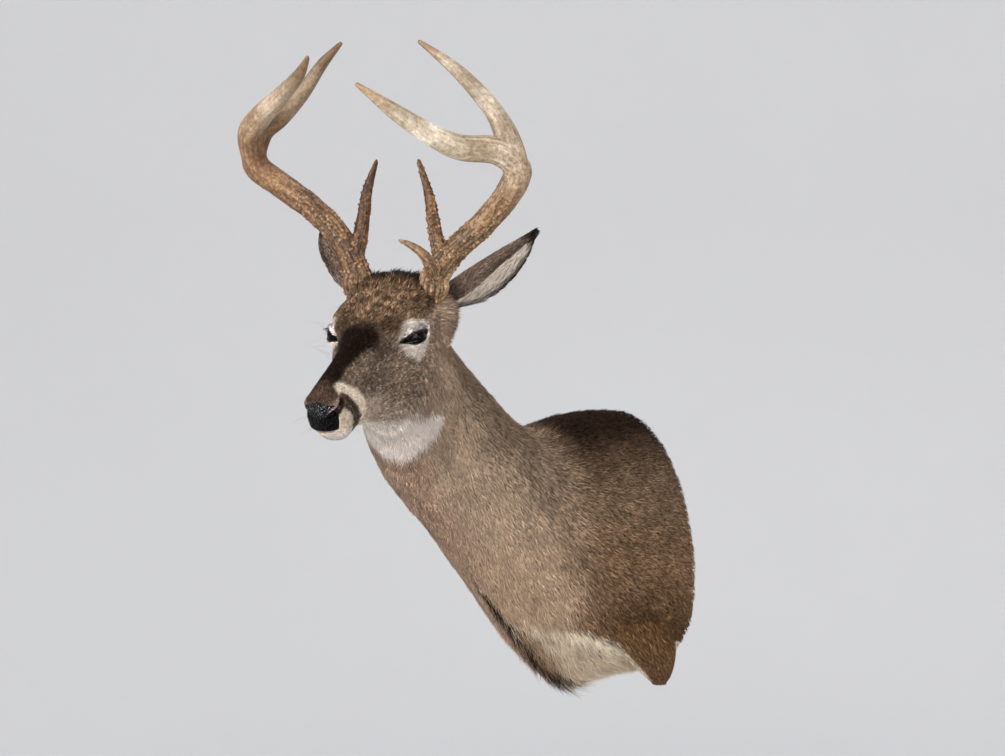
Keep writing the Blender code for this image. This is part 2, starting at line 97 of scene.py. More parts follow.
# Swellings (+) and hollows (-) of the head: place (along, left, up), radii the same way, height.
HEAD_FORMS = {
    "brow": ((0.2, 5.4, 2.4), (3.0, 1.6, 1.3), 0.55),
    "socket front": ((3.3, 4.8, -0.2), (1.9, 1.6, 1.5), -0.5),
    "cheekbone": ((0.5, 5.6, -3.0), (3.6, 1.8, 1.2), 0.35),
    "jaw muscle": ((-0.5, 4.8, -7.0), (3.4, 2.5, 2.6), 0.55),
    "muzzle side": ((8.5, 3.8, -0.8), (2.6, 1.8, 1.8), -0.30),
    "nostril wing": ((17.5, 2.0, 0.0), (1.1, 0.9, 0.9), 0.25),
    "upper lip": ((16.0, 2.4, -2.8), (1.8, 1.2, 1.0), 0.25),
    "antler root": ((-8.6, 4.9, 4.6), (2.1, 1.9, 2.0), 0.8),
    "ear root": ((-11.5, 6.2, 1.2), (2.4, 2.0, 2.4), 0.7),
    "under the ear": ((-12.0, 6.2, -2.4), (2.6, 2.2, 2.6), 1.3),
    "chin": ((15.4, 1.0, -5.6), (1.7, 1.6, 0.9), 0.25),
    "behind the chin": ((11.6, 1.0, -6.8), (1.7, 1.8, 1.2), -0.3),
}
LEG_SECTIONS = (
    (9.0, 10.2, -8.0, 4.0, 6.5),
    (7.6, 10.8, -12.0, 4.4, 6.8),
    (5.8, 11.2, -15.6, 3.9, 5.4),
    (4.2, 11.3, -18.4, 2.7, 3.6),
    (3.1, 11.1, -20.6, 1.6, 2.0),
    (2.6, 10.9, -21.7, 0.8, 0.9),
)

EAR_BASE = np.array((-12.3, 3.1, 0.6))
EAR_TIP = np.array((-22.0, 15.8, 6.2))
EAR_OPEN = np.array((0.54, 0.65, -0.54))
EAR_HALF_WIDTH = 5.2

EYE_CENTRE = np.array((-0.2, 5.0, 0.3))
EYE_RADIUS = 1.75
EYE_OUT = np.array((0.60, 0.78, 0.16))
EYE_FRONT = np.array((0.79, -0.60, -0.05))
EYE_LENGTH = 1.9
EYE_HEIGHT_UPPER = 0.88
EYE_HEIGHT_LOWER = 0.62
LID = 0.13

SEED = 20260

# ---- colours, given as seen in even light and turned into linear values ----


def tone(red, green, blue):
    value = np.array((red, green, blue), float) / 255.0
    return np.where(value <= 0.04045, value / 12.92, ((value + 0.055) / 1.055) ** 2.4)


NECK_FRONT = tone(172, 145, 126)
NECK_SIDE = tone(177, 155, 134)
NAPE = tone(92, 76, 62)
WITHERS = tone(35, 20, 11)
SHOULDER = tone(135, 112, 91)
SHOULDER_RUST = tone(130, 103, 80)
LOW_SHOULDER = tone(97, 72, 49)
# The chest's pale warm tone is partly the coat's own and partly painted light.
CHEST_WARM_AND_LIT = tone(189, 163, 139)
WHITE = tone(222, 212, 204)
CREAM = tone(216, 202, 180)
BAND_CREAM = tone(236, 222, 204)
BIB_WHITE = tone(238, 228, 221)
KEEL_DARK = tone(50, 35, 27)
FRINGE = tone(190, 160, 138)
BELLY = tone(206, 188, 165)
BELLY_WARM = tone(160, 128, 102)
BELLY_CREST = tone(236, 223, 202)
FOREHEAD = tone(114, 92, 73)
CROWN = tone(104, 82, 64)
CROWN_DARK = tone(40, 31, 25)
STRIPE = tone(29, 18, 12)
CHEEK = tone(126, 109, 95)
TEMPLE = tone(156, 135, 118)
JAW_LIGHT = tone(178, 160, 146)
NOSE_FRINGE = tone(82, 64, 54)
LABIAL_RUST = tone(96, 66, 54)
EAR_BACK = tone(111, 95, 84)
EAR_TIP_BLACK = tone(40, 33, 30)
EAR_WHITE = tone(200, 190, 180)
EAR_FRONT_PINK = tone(176, 152, 134)
LEG_BROWN = tone(103, 78, 54)
LABIAL = tone(48, 34, 28)
NOSE_BLACK = tone(13, 13, 14)
RIM_PINK = tone(138, 118, 116)
LID_GREY = tone(150, 139, 142)


def soft(value, start, end):
    """0 at start, 1 at end, smooth between."""
    share = np.clip((value - start) / (end - start), 0.0, 1.0)
    return share * share * (3.0 - 2.0 * share)


def blend(base, other, share):
    return base + (other - base) * np.asarray(share)[..., None]


def layered(colour, *layers):
    """The colour with other colours laid over it in turn, each with its share."""
    for tint, share in layers:
        colour = blend(colour, tint, share)
    return colour


def blob(spot, centre, radii, edge=0.35):
    """1 inside an ellipsoid, 0 outside it, soft over the edge."""
    far = np.sqrt((((spot - np.array(centre)) / np.array(radii)) ** 2).sum(axis=-1))
    return 1.0 - soft(far, 1.0 - edge, 1.0 + edge)


def wave(*values):
    """A smooth repeatable ripple of about -1 to 1, for slow changes over the coat."""
    total = 0.0
    for index, value in enumerate(values):
        total = total + np.sin(value + 1.7 * index) + 0.6 * np.sin(1.9 * value - 0.8 * index)
    return total / (1.6 * len(values))


def mirrored(spot):
    """The spots as if all lay on the left side."""
    return np.stack([spot[..., 0], np.abs(spot[..., 1]), spot[..., 2]], axis=-1)


def on_side(spot, side):
    """Points or ways of the left side, moved to either side."""
    return spot * np.array((1.0, side, 1.0))


def from_top(angle):
    """How far an angle is from the top, 0 to pi on either side."""
    return np.abs((angle + math.pi) % math.tau - math.pi)


def turns(count):
    """Angles evenly round a circle."""
    return np.linspace(0.0, math.tau, count, endpoint=False)


# ---- the bent frame of trunk, neck and head ----


def turn_table():
    """Forward distance, sideways and forward place of the neck's middle line seen from above."""
    along = np.linspace(-2.0, 80.0, 1641)
    heading = TURN * soft(along, TURN_START, TURN_END)
    step = np.diff(along)
    middle = 0.5 * (heading[1:] + heading[:-1])
    side = np.concatenate(([0.0], np.cumsum(np.sin(middle) * step)))
    ahead = along[0] + np.concatenate(([0.0], np.cumsum(np.cos(middle) * step)))
    return along, side, ahead


TURN_TABLE = turn_table()


def turned(line_side, line_ahead, side, height, share):
    """World place, in metres, of a point beside and above a place on the neck's middle line."""
    heading = TURN * share
    roll = ROLL * share
    up = height - EYE_HEIGHT
    aside = side * np.cos(roll) + up * np.sin(roll)
    x = line_side + aside * np.cos(heading)
    y = -line_ahead + aside * np.sin(heading)
    z = EYE_HEIGHT + up * np.cos(roll) - side * np.sin(roll)
    return np.stack([x, y, z], axis=-1) * CM


def bend(forward, side, height):
    """World place of a point of trunk or neck, given as it lies before the neck turns."""
    along, line_side, line_ahead = TURN_TABLE
    share = soft(forward, TURN_START, TURN_END)
    at_side = np.interp(forward, along, line_side)
    at_ahead = np.interp(forward, along, line_ahead)
    return turned(at_side, at_ahead, side, height, share)


def side_view(along, up):
    """Forward distance and height of a point of the head's own axes."""
    forward = EYE_FORWARD + along * math.cos(HEAD_PITCH) + up * math.sin(HEAD_PITCH)
    height = EYE_HEIGHT - along * math.sin(HEAD_PITCH) + up * math.cos(HEAD_PITCH)
    return forward, height


def head_place(spot):
    """World place of points (along, left, up) of the head's own axes."""
    spot = np.asarray(spot, float)
    forward, height = side_view(spot[..., 0], spot[..., 2])
    table, line_side, line_ahead = TURN_TABLE
    beyond = forward - TURN_END
    at_side = np.interp(TURN_END, table, line_side) + beyond * math.sin(TURN)
    at_ahead = np.interp(TURN_END, table, line_ahead) + beyond * math.cos(TURN)
    return turned(at_side, at_ahead, spot[..., 1], height, 1.0)


def head_axes(forward, height):
    """The head's own along and up of a forward distance and height."""
    ahead = forward - EYE_FORWARD
    above = height - EYE_HEIGHT
    along = ahead * math.cos(HEAD_PITCH) - above * math.sin(HEAD_PITCH)
    up = ahead * math.sin(HEAD_PITCH) + above * math.cos(HEAD_PITCH)
    return along, up


def all_sections():
    """Every section from wall to nose, in the side view."""
    rows = [list(row) for row in BODY_SECTIONS]
    for top_along, top_up, low_along, low_up, *shape in HEAD_SECTIONS:
        rows.append([*side_view(top_along, top_up), *side_view(low_along, low_up), *shape])
    return np.array(rows)


SECTIONS = all_sections()
LAST = len(SECTIONS) - 1


def smooth_rows(rows, place):
    """Row values at any place between the rows, by a smooth curve through them."""
    rows = np.asarray(rows, float)
    last = len(rows) - 1
    place = np.clip(place, 0.0, last)
    index = np.clip(np.floor(place).astype(int), 0, last - 1)
    share = (place - index)[:, None]
    before, start, end, after = (rows[np.clip(index + step, 0, last)] for step in (-1, 0, 1, 2))
    slope_start = 0.5 * (end - before)
    slope_end = 0.5 * (after - start)
    square = share * share
    cube = square * share
    return (
        (2 * cube - 3 * square + 1) * start
        + (cube - 2 * square + share) * slope_start
        + (-2 * cube + 3 * square) * end
        + (cube - square) * slope_end
    )


def power(value, exponent):
    return np.sign(value) * np.abs(value) ** exponent


def unit(vector):
    vector = np.asarray(vector, float)
    return vector / np.maximum(np.linalg.norm(vector, axis=-1, keepdims=True), 1e-12)


# ---- finer forms of the skin ----

EYE_OUT = unit(EYE_OUT)
EYE_FRONT = unit(EYE_FRONT - EYE_OUT * (EYE_FRONT @ EYE_OUT))
EYE_UP = np.cross(EYE_FRONT, EYE_OUT)
EYE_UP = EYE_UP * np.sign(EYE_UP[2])

# The nostril is a curved slit, and its rim a low ridge above it.
NOSTRIL = ((18.4, 1.55, -1.1), (17.8, 2.05, -0.95), (17.2, 2.25, -0.65), (16.5, 2.3, -0.4))
NOSTRIL_RIM = ((18.6, 1.3, -0.9), (18.1, 1.8, -0.45), (17.3, 2.1, 0.05), (16.7, 2.15, 0.35))
# The nose pad's pebbles are this far apart.
PEBBLE_STEP = 0.26
# The mouth's line: places along it from its corner to its front, and their heights.
MOUTH = ((10.6, 12.6, 15.2, 17.6, 19.5), (-4.8, -4.9, -4.35, -3.6, -3.75))
MOUTH_CORNER = MOUTH[0][0]


def mouth_height(along):
    return np.interp(along, *MOUTH)


def line_gap(spot, line):
    """Least distance from points of the head to a line of a few points."""
    gap = np.full(spot.shape[:-1], 1e9)
    for start, end in zip(np.array(line[:-1]), np.array(line[1:])):
        reach = end - start
        share = np.clip(((spot - start) @ reach) / (reach @ reach), 0.0, 1.0)
        gap = np.minimum(gap, np.linalg.norm(spot - start - share[..., None] * reach, axis=-1))
    return gap


def fold(spot):
    """How far the head's swellings, hollows, lips and nostrils move the surface out."""
    own = mirrored(spot)
    along, side, up = np.moveaxis(spot, -1, 0)
    total = np.zeros_like(along)
    for place, radii, height in HEAD_FORMS.values():
        total += height * np.exp(-(((own - place) / radii) ** 2).sum(axis=-1))
    below = up - mouth_height(along)
    front = soft(along, MOUTH_CORNER - 0.6, MOUTH_CORNER + 0.8)
    total -= 0.20 * np.exp(-((below / 0.16) ** 2)) * front
    total += 0.10 * np.exp(-(((below - 0.42) / 0.34) ** 2)) * front
    total -= 0.5 * np.exp(-((line_gap(own, NOSTRIL) / 0.42) ** 4))
    total += 0.12 * np.exp(-((line_gap(own, NOSTRIL_RIM) / 0.25) ** 2))
    pebbles = 0.03 * nose_pad(spot)
    for across, rise in ((1.0, 0.0), (0.5, 0.87), (0.5, -0.87)):
        pebbles = pebbles * np.cos(math.tau / PEBBLE_STEP * (across * side + rise * up))
    return total + pebbles


def eye_axes(spot):
    """Head points towards the eye's front corner, up and out. Both eyes read as the left one."""
    away = mirrored(spot) - EYE_CENTRE
    return away @ EYE_FRONT, away @ EYE_UP, away @ EYE_OUT


def almond(front, up):
    """1 on the edge of the eye's opening, less inside it and more outside."""
    height = np.where(up > 0.0, EYE_HEIGHT_UPPER, EYE_HEIGHT_LOWER)
    share = np.abs(front) / EYE_LENGTH
    top = soft(up, -0.25, 0.25)
    height = height * np.where(front > 0.0, 1.0 - (0.6 - 0.25 * top) * soft(share, 0.35, 0.95), 1.0)
    height = height * (1.0 + 0.18 * top * np.clip(front / EYE_LENGTH, -1.0, 1.0))
    pointed = np.where(front > 0.0, 1.5, 2.6 - 0.4 * top)
    return (share**pointed + (np.abs(up) / height) ** 2.0) ** 0.6


def open_eyes(spot, lift):
    """Lays the lids round the eyeball and sinks the skin behind it."""
    front, up, out = eye_axes(spot)
    ratio = almond(front, up)
    near = (out > -0.6) & (ratio < 4.5)
    spread = np.sqrt(np.maximum((EYE_RADIUS + LID + lift) ** 2 - front**2 - up**2, 0.02))
    spread = np.maximum(spread, 0.55 + lift)
    lid = 1.0 - soft(ratio, 1.3, 3.6)
    wanted = out + (spread - out) * lid
    inside = np.sqrt(np.maximum((EYE_RADIUS - 0.35) ** 2 - front**2 - up**2, 0.0))
    sunk = 1.0 - soft(ratio, 0.86, 1.02)
    wanted = wanted + (inside - wanted) * sunk
    move = np.where(near, wanted - out, 0.0)
    way = np.where(spot[..., 1:2] < 0.0, on_side(EYE_OUT, -1.0), EYE_OUT)
    return spot + way * move[..., None]


def coat_depth(place):
    """How far the skin lies inside the solids: thin on the face, thick on neck and trunk."""
    stops = (0.0, 6.0, 10.0, 12.0, 16.0, 19.0, 20.5, 23.0)
    return np.interp(place, stops, (0.75, 0.6, 0.5, 0.3, 0.2, 0.12, 0.06, 0.03))


def surface(place, angle, lift=0.0):
    """Places on the skin, or lifted off it, and their spots on the head's axes."""
    place, angle = np.broadcast_arrays(np.asarray(place, float), np.asarray(angle, float))
    shape = place.shape
    rows = smooth_rows(SECTIONS, place.ravel())
    turn = angle.ravel()
    top = rows[:, 0:2]
    low = rows[:, 2:4]
    half_width, widest, upper, lower = rows[:, 4:].T
    depth = np.linalg.norm(top - low, axis=1)
    way = (top - low) / depth[:, None]
    roundness = np.where(np.cos(turn) >= 0.0, upper, lower)
    reach = np.where(np.cos(turn) >= 0.0, 1.0 - widest, widest) * depth
    side = half_width * power(np.sin(turn), 2.0 / roundness)
    rise = reach * power(np.cos(turn), 2.0 / roundness)
    normal = np.stack([np.sin(turn) / half_width, np.cos(turn) / reach], axis=1)
    normal /= np.linalg.norm(normal, axis=1)[:, None]
    base = low + way * (widest * depth + rise)[:, None]
    lifted = np.broadcast_to(lift, shape).ravel()
    along, up = head_axes(base[:, 0], base[:, 1])
    out = fold(np.stack([along, side, up], axis=-1)) + lifted - coat_depth(place.ravel())
    side = side + normal[:, 0] * out
    base = base + way * (normal[:, 1] * out)[:, None]
    along, up = head_axes(base[:, 0], base[:, 1])
    spot = open_eyes(np.stack([along, side, up], axis=-1), lifted)
    forward, height = side_view(spot[:, 0], spot[:, 2])
    points = bend(forward, spot[:, 1], height)
    return points.reshape(*shape, 3), spot.reshape(*shape, 3)


# ---- markings, shared by skin and coat ----


def body_colour(place, angle):
    """Trunk, neck, chest and back, then the belly with its dark keel and the fringe beyond it."""
    turn = from_top(angle)
    trunk = layered(
        SHOULDER,
        (SHOULDER_RUST, soft(turn, 0.9, 1.5)),
        (LOW_SHOULDER, soft(turn, 1.5, 2.1) * soft(place, 4.2, 2.4)),
    )
    neck = blend(NECK_SIDE, NECK_FRONT, soft(turn, 2.3, 2.9))
    colour = layered(
        trunk,
        (neck, soft(place, 3.6, 6.4)),
        # A pale warm patch low on the chest: partly the coat's own tone, partly painted light where the
        # front of the shoulder faces the light.
        (CHEST_WARM_AND_LIT, soft(turn, 1.7, 2.3) * soft(place, 3.9, 4.9) * soft(place, 7.2, 5.8)),
        (WITHERS, 0.97 * soft(turn, 1.2, 0.35) * soft(place, 5.4, 3.4)),
        (NAPE, 0.7 * soft(turn, 1.9, 0.45) * soft(place, 4.4, 6.0)),
    )
    colour = colour * (1.0 + 0.07 * wave(2.1 * place, 3.0 * angle))[..., None]

    edge = np.interp(place, (0.0, 3.2, 4.1, 4.7, 5.0, 5.2), (2.2, 2.22, 2.29, 2.51, 2.77, 2.95))
    edge = edge + 0.03 * wave(5.0 * place, 7.0 * angle)
    belly = layered(
        BELLY,
        (BELLY_WARM, 0.8 * soft(turn, 2.62, 2.9) * soft(place, 2.9, 3.8)),
        (BELLY_CREST, soft(turn, edge + 0.2, edge + 0.08)),
    )
    belly = belly * (1.0 + 0.08 * wave(8.0 * place, 9.0 * angle))[..., None]
    keel = np.interp(place, (2.0, 2.8, 3.3, 4.0, 5.2, 6.4), (2.95, 2.84, 2.84, 2.92, 2.96, 3.08))
    right = -angle % math.tau
    fringe = soft(right, 2.6, 2.75) * soft(right, 3.05, 2.95)
    return layered(
        colour,
        (belly, soft(turn, edge, edge + 0.07) * soft(place, 5.45, 5.2)),
        (KEEL_DARK, soft(turn, keel, keel + 0.09) * soft(place, 6.6, 5.8) * soft(place, 2.2, 2.7)),
        (FRINGE, fringe * soft(place, 6.6, 6.0) * soft(place, 2.6, 3.2)),
    )


def muzzle_marks(along, left, up, rough):
    """The muzzle's pale band, pale lip and chin, and the dark patch between them, as layers."""
    rear = np.interp(up, (-4.8, -3.5, -2.4, -0.8, 0.6, 1.6), (11.6, 11.1, 11.4, 12.3, 13.8, 14.9))
    front = np.interp(up, (-4.3, -3.0, -1.5, -0.1, 0.6), (12.9, 13.3, 14.1, 15.2, 16.0)) + 0.3 * rough
    cream = soft(along, rear - 0.45, rear + 0.35) * soft(along, front + 0.4, front - 0.3)
    lip = soft(along, 14.6, 15.4) * soft(up, 0.2, -1.0) * soft(left, 0.9, 1.5)
    chin = soft(up - mouth_height(along), -0.1, -0.3) * soft(along, 12.4, 13.6)
    heights = (-5.6, -4.4, -3.0, -1.7, -0.8, 0.2)
    middle = np.interp(up, heights, (13.4, 13.3, 13.9, 14.8, 15.3, 16.0)) + 0.25 * rough
    half = np.interp(up, heights, (1.1, 0.95, 1.0, 1.15, 1.05, 0.7))
    patch = soft(np.abs(along - middle) - half, 0.3, -0.2) * soft(left, 0.9, 1.4) * soft(up, 0.7, 0.2)
    labial = blend(LABIAL, LABIAL_RUST, 0.8 * soft(up + rough, -1.6, -0.2))
    return (
        (BAND_CREAM, cream * soft(left, 1.0, 1.5) * soft(up, 2.2, 1.4)),
        (0.88 * CREAM, lip),
        (WHITE, chin),
        (labial, 0.92 * patch * soft(up, -6.6, -5.8)),
    )


def eye_marks(spot, own):
    """The white ring, grey upper lid and black rim of the eye, as layers."""
    ring = blob(own, (-0.6, 5.4, 0.2), (3.25, 2.6, 2.95), 0.16)
    front, above, _ = eye_axes(spot)
    ratio = almond(front, above)
    beside = soft(own[..., 1], 2.2, 3.0)
    lid = soft(ratio, 2.3, 1.9) * soft(above, 0.3, 0.6) * soft(front, 0.9, 0.3) * beside
    rim = np.where(above > 0.0, 1.34, 1.22)
    return (
        (WHITE, ring * soft(own[..., 2] - 0.49 * own[..., 0], 3.0, 2.5)),
        (LID_GREY, 0.75 * lid),
        (NOSE_BLACK, soft(ratio, rim, rim - 0.14) * beside),
    )


def head_colour(angle, spot):
    """Cheek, forehead, crown, stripe, jaw and muzzle, then the eyes, the ears' roots and the nostrils;
    painted shade lies in the muzzle's side hollow and the nostrils' slits, and a painted shadow under each
    antler's burr.
    """
    turn = from_top(angle)
    own = mirrored(spot)
    along, left, up = np.moveaxis(own, -1, 0)
    rough = 0.5 * wave(2.3 * along + 0.7 * spot[..., 1], 2.9 * spot[..., 1] - 1.1 * along)
    half = np.interp(along, (0.0, 2.5, 5.0, 8.0, 12.0, 15.0, 18.5), (0.5, 3.0, 3.0, 1.7, 1.2, 1.4, 1.9))
    fade = 0.24 + 0.14 * soft(along, 9.0, 4.0)
    stripe = soft(left, half * (1.0 + fade), half * (1.0 - fade)) * soft(up, -0.5, 0.8)
    stripe = stripe * soft(along + 1.1 * rough, 1.0, 4.4)
    dark_brow = 0.6 * blob(own, (2.5, 3.1, 3.0), (1.7, 1.9, 1.1), 0.7)
    jaw = np.interp(along, (-8.0, -1.5, 3.4, 8.0, 11.0), (-13.6, -12.3, -10.2, -7.6, -5.5))
    # Black hair at each ear's root, and a small dark spot just under the antler's burr that is a painted
    # shadow.
    ear_root_black_and_burr_shadow = blob(own, (-9.6, 6.2, 3.2), (2.4, 2.0, 1.6)) + blob(own, (-6.0, 5.7, 2.4), (0.9, 0.9, 0.7))
    return layered(
        CHEEK,
        (TEMPLE, soft(along, 3.0, -5.0)),
        (FOREHEAD, soft(up, 0.6, 2.6) * soft(along, 5.0, 2.0)),
        (CROWN, soft(along + rough, -3.4, -6.4) * soft(turn, 1.1, 0.6)),
        (CROWN_DARK, soft(along + rough, -5.7, -7.3) * soft(turn, 1.1, 0.7)),
        (STRIPE, np.maximum(stripe, dark_brow)),
        (NOSE_FRINGE, 0.85 * soft(along, 14.2, 17.0) * soft(up, 0.2, 0.8)),
        # A darker copy of the cheek's colour over the hollow of the muzzle's side is painted shade.
        (CHEEK * 0.6, 0.55 * blob(own, (7.6, 3.3, -1.0), (3.2, 2.2, 2.0), 0.7)),
        (JAW_LIGHT, 0.75 * soft(up, jaw + 4.2, jaw + 0.8) * soft(along, -4.0, 1.0)),
        (WHITE, soft(up, jaw + 0.5, jaw - 0.5)),
        (1.2 * JAW_LIGHT, 0.7 * blob(own, (10.0, 2.5, -4.8), (2.6, 1.8, 1.5), 0.7)),
        *muzzle_marks(along, left, up, rough),
        *eye_marks(spot, own),
        (EAR_TIP_BLACK, 0.85 * ear_root_black_and_burr_shadow),
        # The nostrils' slits are painted dark: painted shade standing in for their depth.
        (LABIAL, soft(line_gap(own, NOSTRIL), 0.95, 0.5)),
    )


def markings(place, angle, spot):
    """Colour of the coat at places on the flesh."""
    turn = from_top(angle)
    side = np.interp(place, (9.1, 9.3, 9.6, 10.0, 10.4, 10.9), (2.5, 2.1, 1.95, 2.05, 2.25, 2.5))
    foot = np.interp(turn, (2.0, 2.5, math.pi), (9.44, 9.4, 9.2))
    bib = soft(place, foot, foot + 0.1) * soft(turn, side - 0.04, side + 0.1)
    colour = layered(
        body_colour(place, angle),
        (head_colour(angle, spot), soft(place, 9.9, 11.2)),
        (BIB_WHITE, bib * soft(place, 11.4, 10.6)),
    )
    # Two dark smudges low on the shoulder are painted shade in its hollows.
    painted_shoulder_shade = np.exp(-(((place - 2.25) / 0.5) ** 2) - ((turn - 1.8) / 0.2) ** 2)
    painted_shoulder_shade = painted_shoulder_shade + 0.9 * np.exp(-(((place - 3.5) / 0.3) ** 2) - ((turn - 1.75) / 0.15) ** 2)
    rim = soft(line_gap(mirrored(spot), NOSTRIL_RIM), 0.28, 0.14) * soft(place, 16.0, 17.0)
    return layered(
        colour * (1.0 - 0.26 * painted_shoulder_shade)[..., None],
        (NOSE_BLACK, nose_pad(spot)),
        (RIM_PINK, 0.8 * rim),
    )


def nose_pad(spot):
    """1 on the bare nose pad and its nostrils."""
    along, left, up = np.moveaxis(mirrored(spot), -1, 0)
    top = soft(up, 0.75 - 0.35 * left, 0.55 - 0.35 * left)
    side = soft(along - 17.35 + 0.1 * up + 0.25 * (1.9 - left), 0.0, 0.12)
    low = soft(up - mouth_height(along), 0.12, 0.3)
    return top * side * low


def nose_gloss(spot):
    """How wet the nose pad shines: most on the part that faces up."""
    return 0.09 + 0.91 * soft(spot[..., 2], -1.3, -0.3)


# ---- mesh helpers ----


def mesh_from(name, points, faces, sides):
    """Mesh from arrays: faces all have the same number of sides."""
    mesh = bpy.data.meshes.new(name)
    mesh.vertices.add(len(points))
    mesh.vertices.foreach_set("co", np.ascontiguousarray(points, np.float32).ravel())
    mesh.loops.add(faces.size)
    mesh.loops.foreach_set("vertex_index", np.ascontiguousarray(faces, np.int32).ravel())
    mesh.polygons.add(len(faces))
    mesh.polygons.foreach_set("loop_start", np.arange(0, faces.size, sides, dtype=np.int32))
    mesh.update(calc_edges=True)
    mesh.shade_smooth()
    return mesh


def object_from(mesh, name, *finishes):
    """A linked object of the mesh, with its materials."""
    made = bpy.data.objects.new(name, mesh)
    bpy.context.scene.collection.objects.link(made)
    for finish in finishes:
        mesh.materials.append(finish)
    return made


def paint(mesh, name, values):
    """Stores one value or colour for each point."""
    values = np.asarray(values, np.float32)
    if values.ndim == 1:
        mesh.attributes.new(name, "FLOAT", "POINT").data.foreach_set("value", values)
        return
    filled = np.ones((len(values), 4), np.float32)
    filled[:, :3] = values
    mesh.attributes.new(name, "FLOAT_COLOR", "POINT").data.foreach_set("color", filled.ravel())


def vectors(items, name):
    """A property of every point as an array of three columns."""
    values = np.empty(len(items) * 3, np.float32)
    items.foreach_get(name, values)
    return values.reshape(-1, 3).astype(float)


def numbers(items, name):
    """A whole number of every corner or face as an array."""
    values = np.empty(len(items), np.int32)
    items.foreach_get(name, values)
    return values


def loft_faces(rows, columns):
    """Quads of a tube of rows by columns points, closed round its columns."""
    row = np.arange(rows - 1)[:, None] * columns
    column = np.arange(columns)[None, :]
    following = (column + 1) % columns
    corners = (row + column, row + following, row + columns + following, row + columns + column)
    return np.stack(corners, axis=-1).reshape(-1, 4)


def tube_rings(line, radius, side, other, turn):
    """Rings round the points of a line, each in the plane of its two ways across."""
    turn = turn[None, :, None]
    ring = side[:, None] * np.cos(turn) + other[:, None] * np.sin(turn)
    return line[:, None] + radius[:, None, None] * ring


def closed_tube(name, rings, start=None, end=None):
    """Closed tube through rings of points, each end drawn to a point."""
    rows, columns, _ = rings.shape
    points = rings.reshape(-1, 3)
    mesh = mesh_from(name, points, loft_faces(rows, columns), 4)
    builder = bmesh.new()
    builder.from_mesh(mesh)
    verts = list(builder.verts)
    for first, tip in ((0, start), ((rows - 1) * columns, end)):
        ring = verts[first : first + columns]
        middle = points[first : first + columns].mean(axis=0) if tip is None else tip
        middle = builder.verts.new(Vector(middle))
        for step in range(columns):
            builder.faces.new((ring[step], ring[(step + 1) % columns], middle))
    face_out(builder, mesh)
    return mesh


def face_out(builder, mesh):
    """Turns the faces outwards and writes the mesh."""
    bmesh.ops.recalc_face_normals(builder, faces=builder.faces)
    if builder.calc_volume(signed=True) < 0.0:
        bmesh.ops.reverse_faces(builder, faces=builder.faces)
    builder.to_mesh(mesh)
    builder.free()
    mesh.shade_smooth()


def applied(obj, *others):
    """The object's mesh with its modifiers applied; the helpers are removed."""
    graph = bpy.context.evaluated_depsgraph_get()
    mesh = bpy.data.meshes.new_from_object(obj.evaluated_get(graph))
    old = obj.data
    obj.modifiers.clear()
    obj.data = mesh
    bpy.data.meshes.remove(old)
    for other in others:
        bpy.data.objects.remove(other, do_unlink=True)
    mesh.shade_smooth()
    return mesh


def joined(obj, others):
    """Union of the object with others, applied."""
    for other in others:
        modifier = obj.modifiers.new("join", "BOOLEAN")
        modifier.operation = "UNION"
        modifier.solver = "MANIFOLD"
        modifier.object = other
    return applied(obj, *others)


# ---- materials ----


class Finish:
    """A procedural material while its nodes are put together."""

    def __init__(self, name, roughness, specular=0.5):
        self.made = bpy.data.materials.new(name)
        self.made.use_nodes = True
        self.nodes = self.made.node_tree.nodes
        self.shader = self.nodes["Principled BSDF"].inputs
        self.feed(self.shader["Roughness"], roughness)
        self.feed(self.shader["Specular IOR Level"], specular)

    def feed(self, socket, value):
        """Links an output to a socket, or sets the socket's own value."""
        if isinstance(value, bpy.types.NodeSocket):
            self.made.node_tree.links.new(value, socket)
        else:
            socket.default_value = value

    def node(self, kind, **inputs):
        node = self.nodes.new("ShaderNode" + kind)
        for name, value in inputs.items():
            self.feed(node.inputs[name], value)
        return node

    def where(self):
        return self.node("TexCoord").outputs["Object"]

    def stored(self, name, output="Color"):
        node = self.node("Attribute")
        node.attribute_name = name
        return node.outputs[output]

    def noise(self, scale, detail=3.0, roughness=0.55, where=None):
        where = where or self.where()
        node = self.node("TexNoise", Vector=where, Scale=scale, Detail=detail, Roughness=roughness)
        return node.outputs["Fac"]

    def ramp(self, value, *stops):
        """Turns a value into colours, each stop a value and its colour."""
        node = self.node("ValToRGB", Fac=value)
        elements = node.color_ramp.elements
        for element, (place, colour) in zip(elements, (stops[0], stops[-1])):
            element.position = place
            element.color = (*colour, 1.0)
        for place, colour in stops[1:-1]:
            elements.new(place).color = (*colour, 1.0)
        return node.outputs["Color"]

    def mix(self, kind, share, first, second):
        node = self.node("Mix")
        node.data_type = "RGBA"
        node.blend_type = kind
        for socket, value in ((0, share), (6, first), (7, second)):
            self.feed(node.inputs[socket], value)
        return node.outputs[2]

    def times(self, first, second):
        return self.mix("MULTIPLY", 1.0, first, second)

    def done(self, colour, height=None, strength=0.0, distance=0.0, sunk=False):
        """The material with its colour and, with a strength, bumps raised or sunk by height."""
        self.feed(self.shader["Base Color"], colour)
        if strength:
            node = self.node("Bump", Strength=strength, Distance=distance, Height=height)
            node.invert = sunk
            self.feed(self.shader["Normal"], node.outputs["Normal"])
        return self.made


def mottled(name, roughness, specular, grain, low, high, *bumps):
    """A finish of two shades mixed by noise, with its own bumps."""
    look = Finish(name, roughness, specular)
    vary = look.noise(*grain)
    return look.done(look.ramp(vary, low, high), vary, *bumps)


def glass_material():
    low = (0.35, (0.001, 0.0009, 0.0008))
    return mottled("eye_glass", 0.04, 0.06, (260.0, 3.0), low, (0.75, (0.005, 0.003, 0.002)))


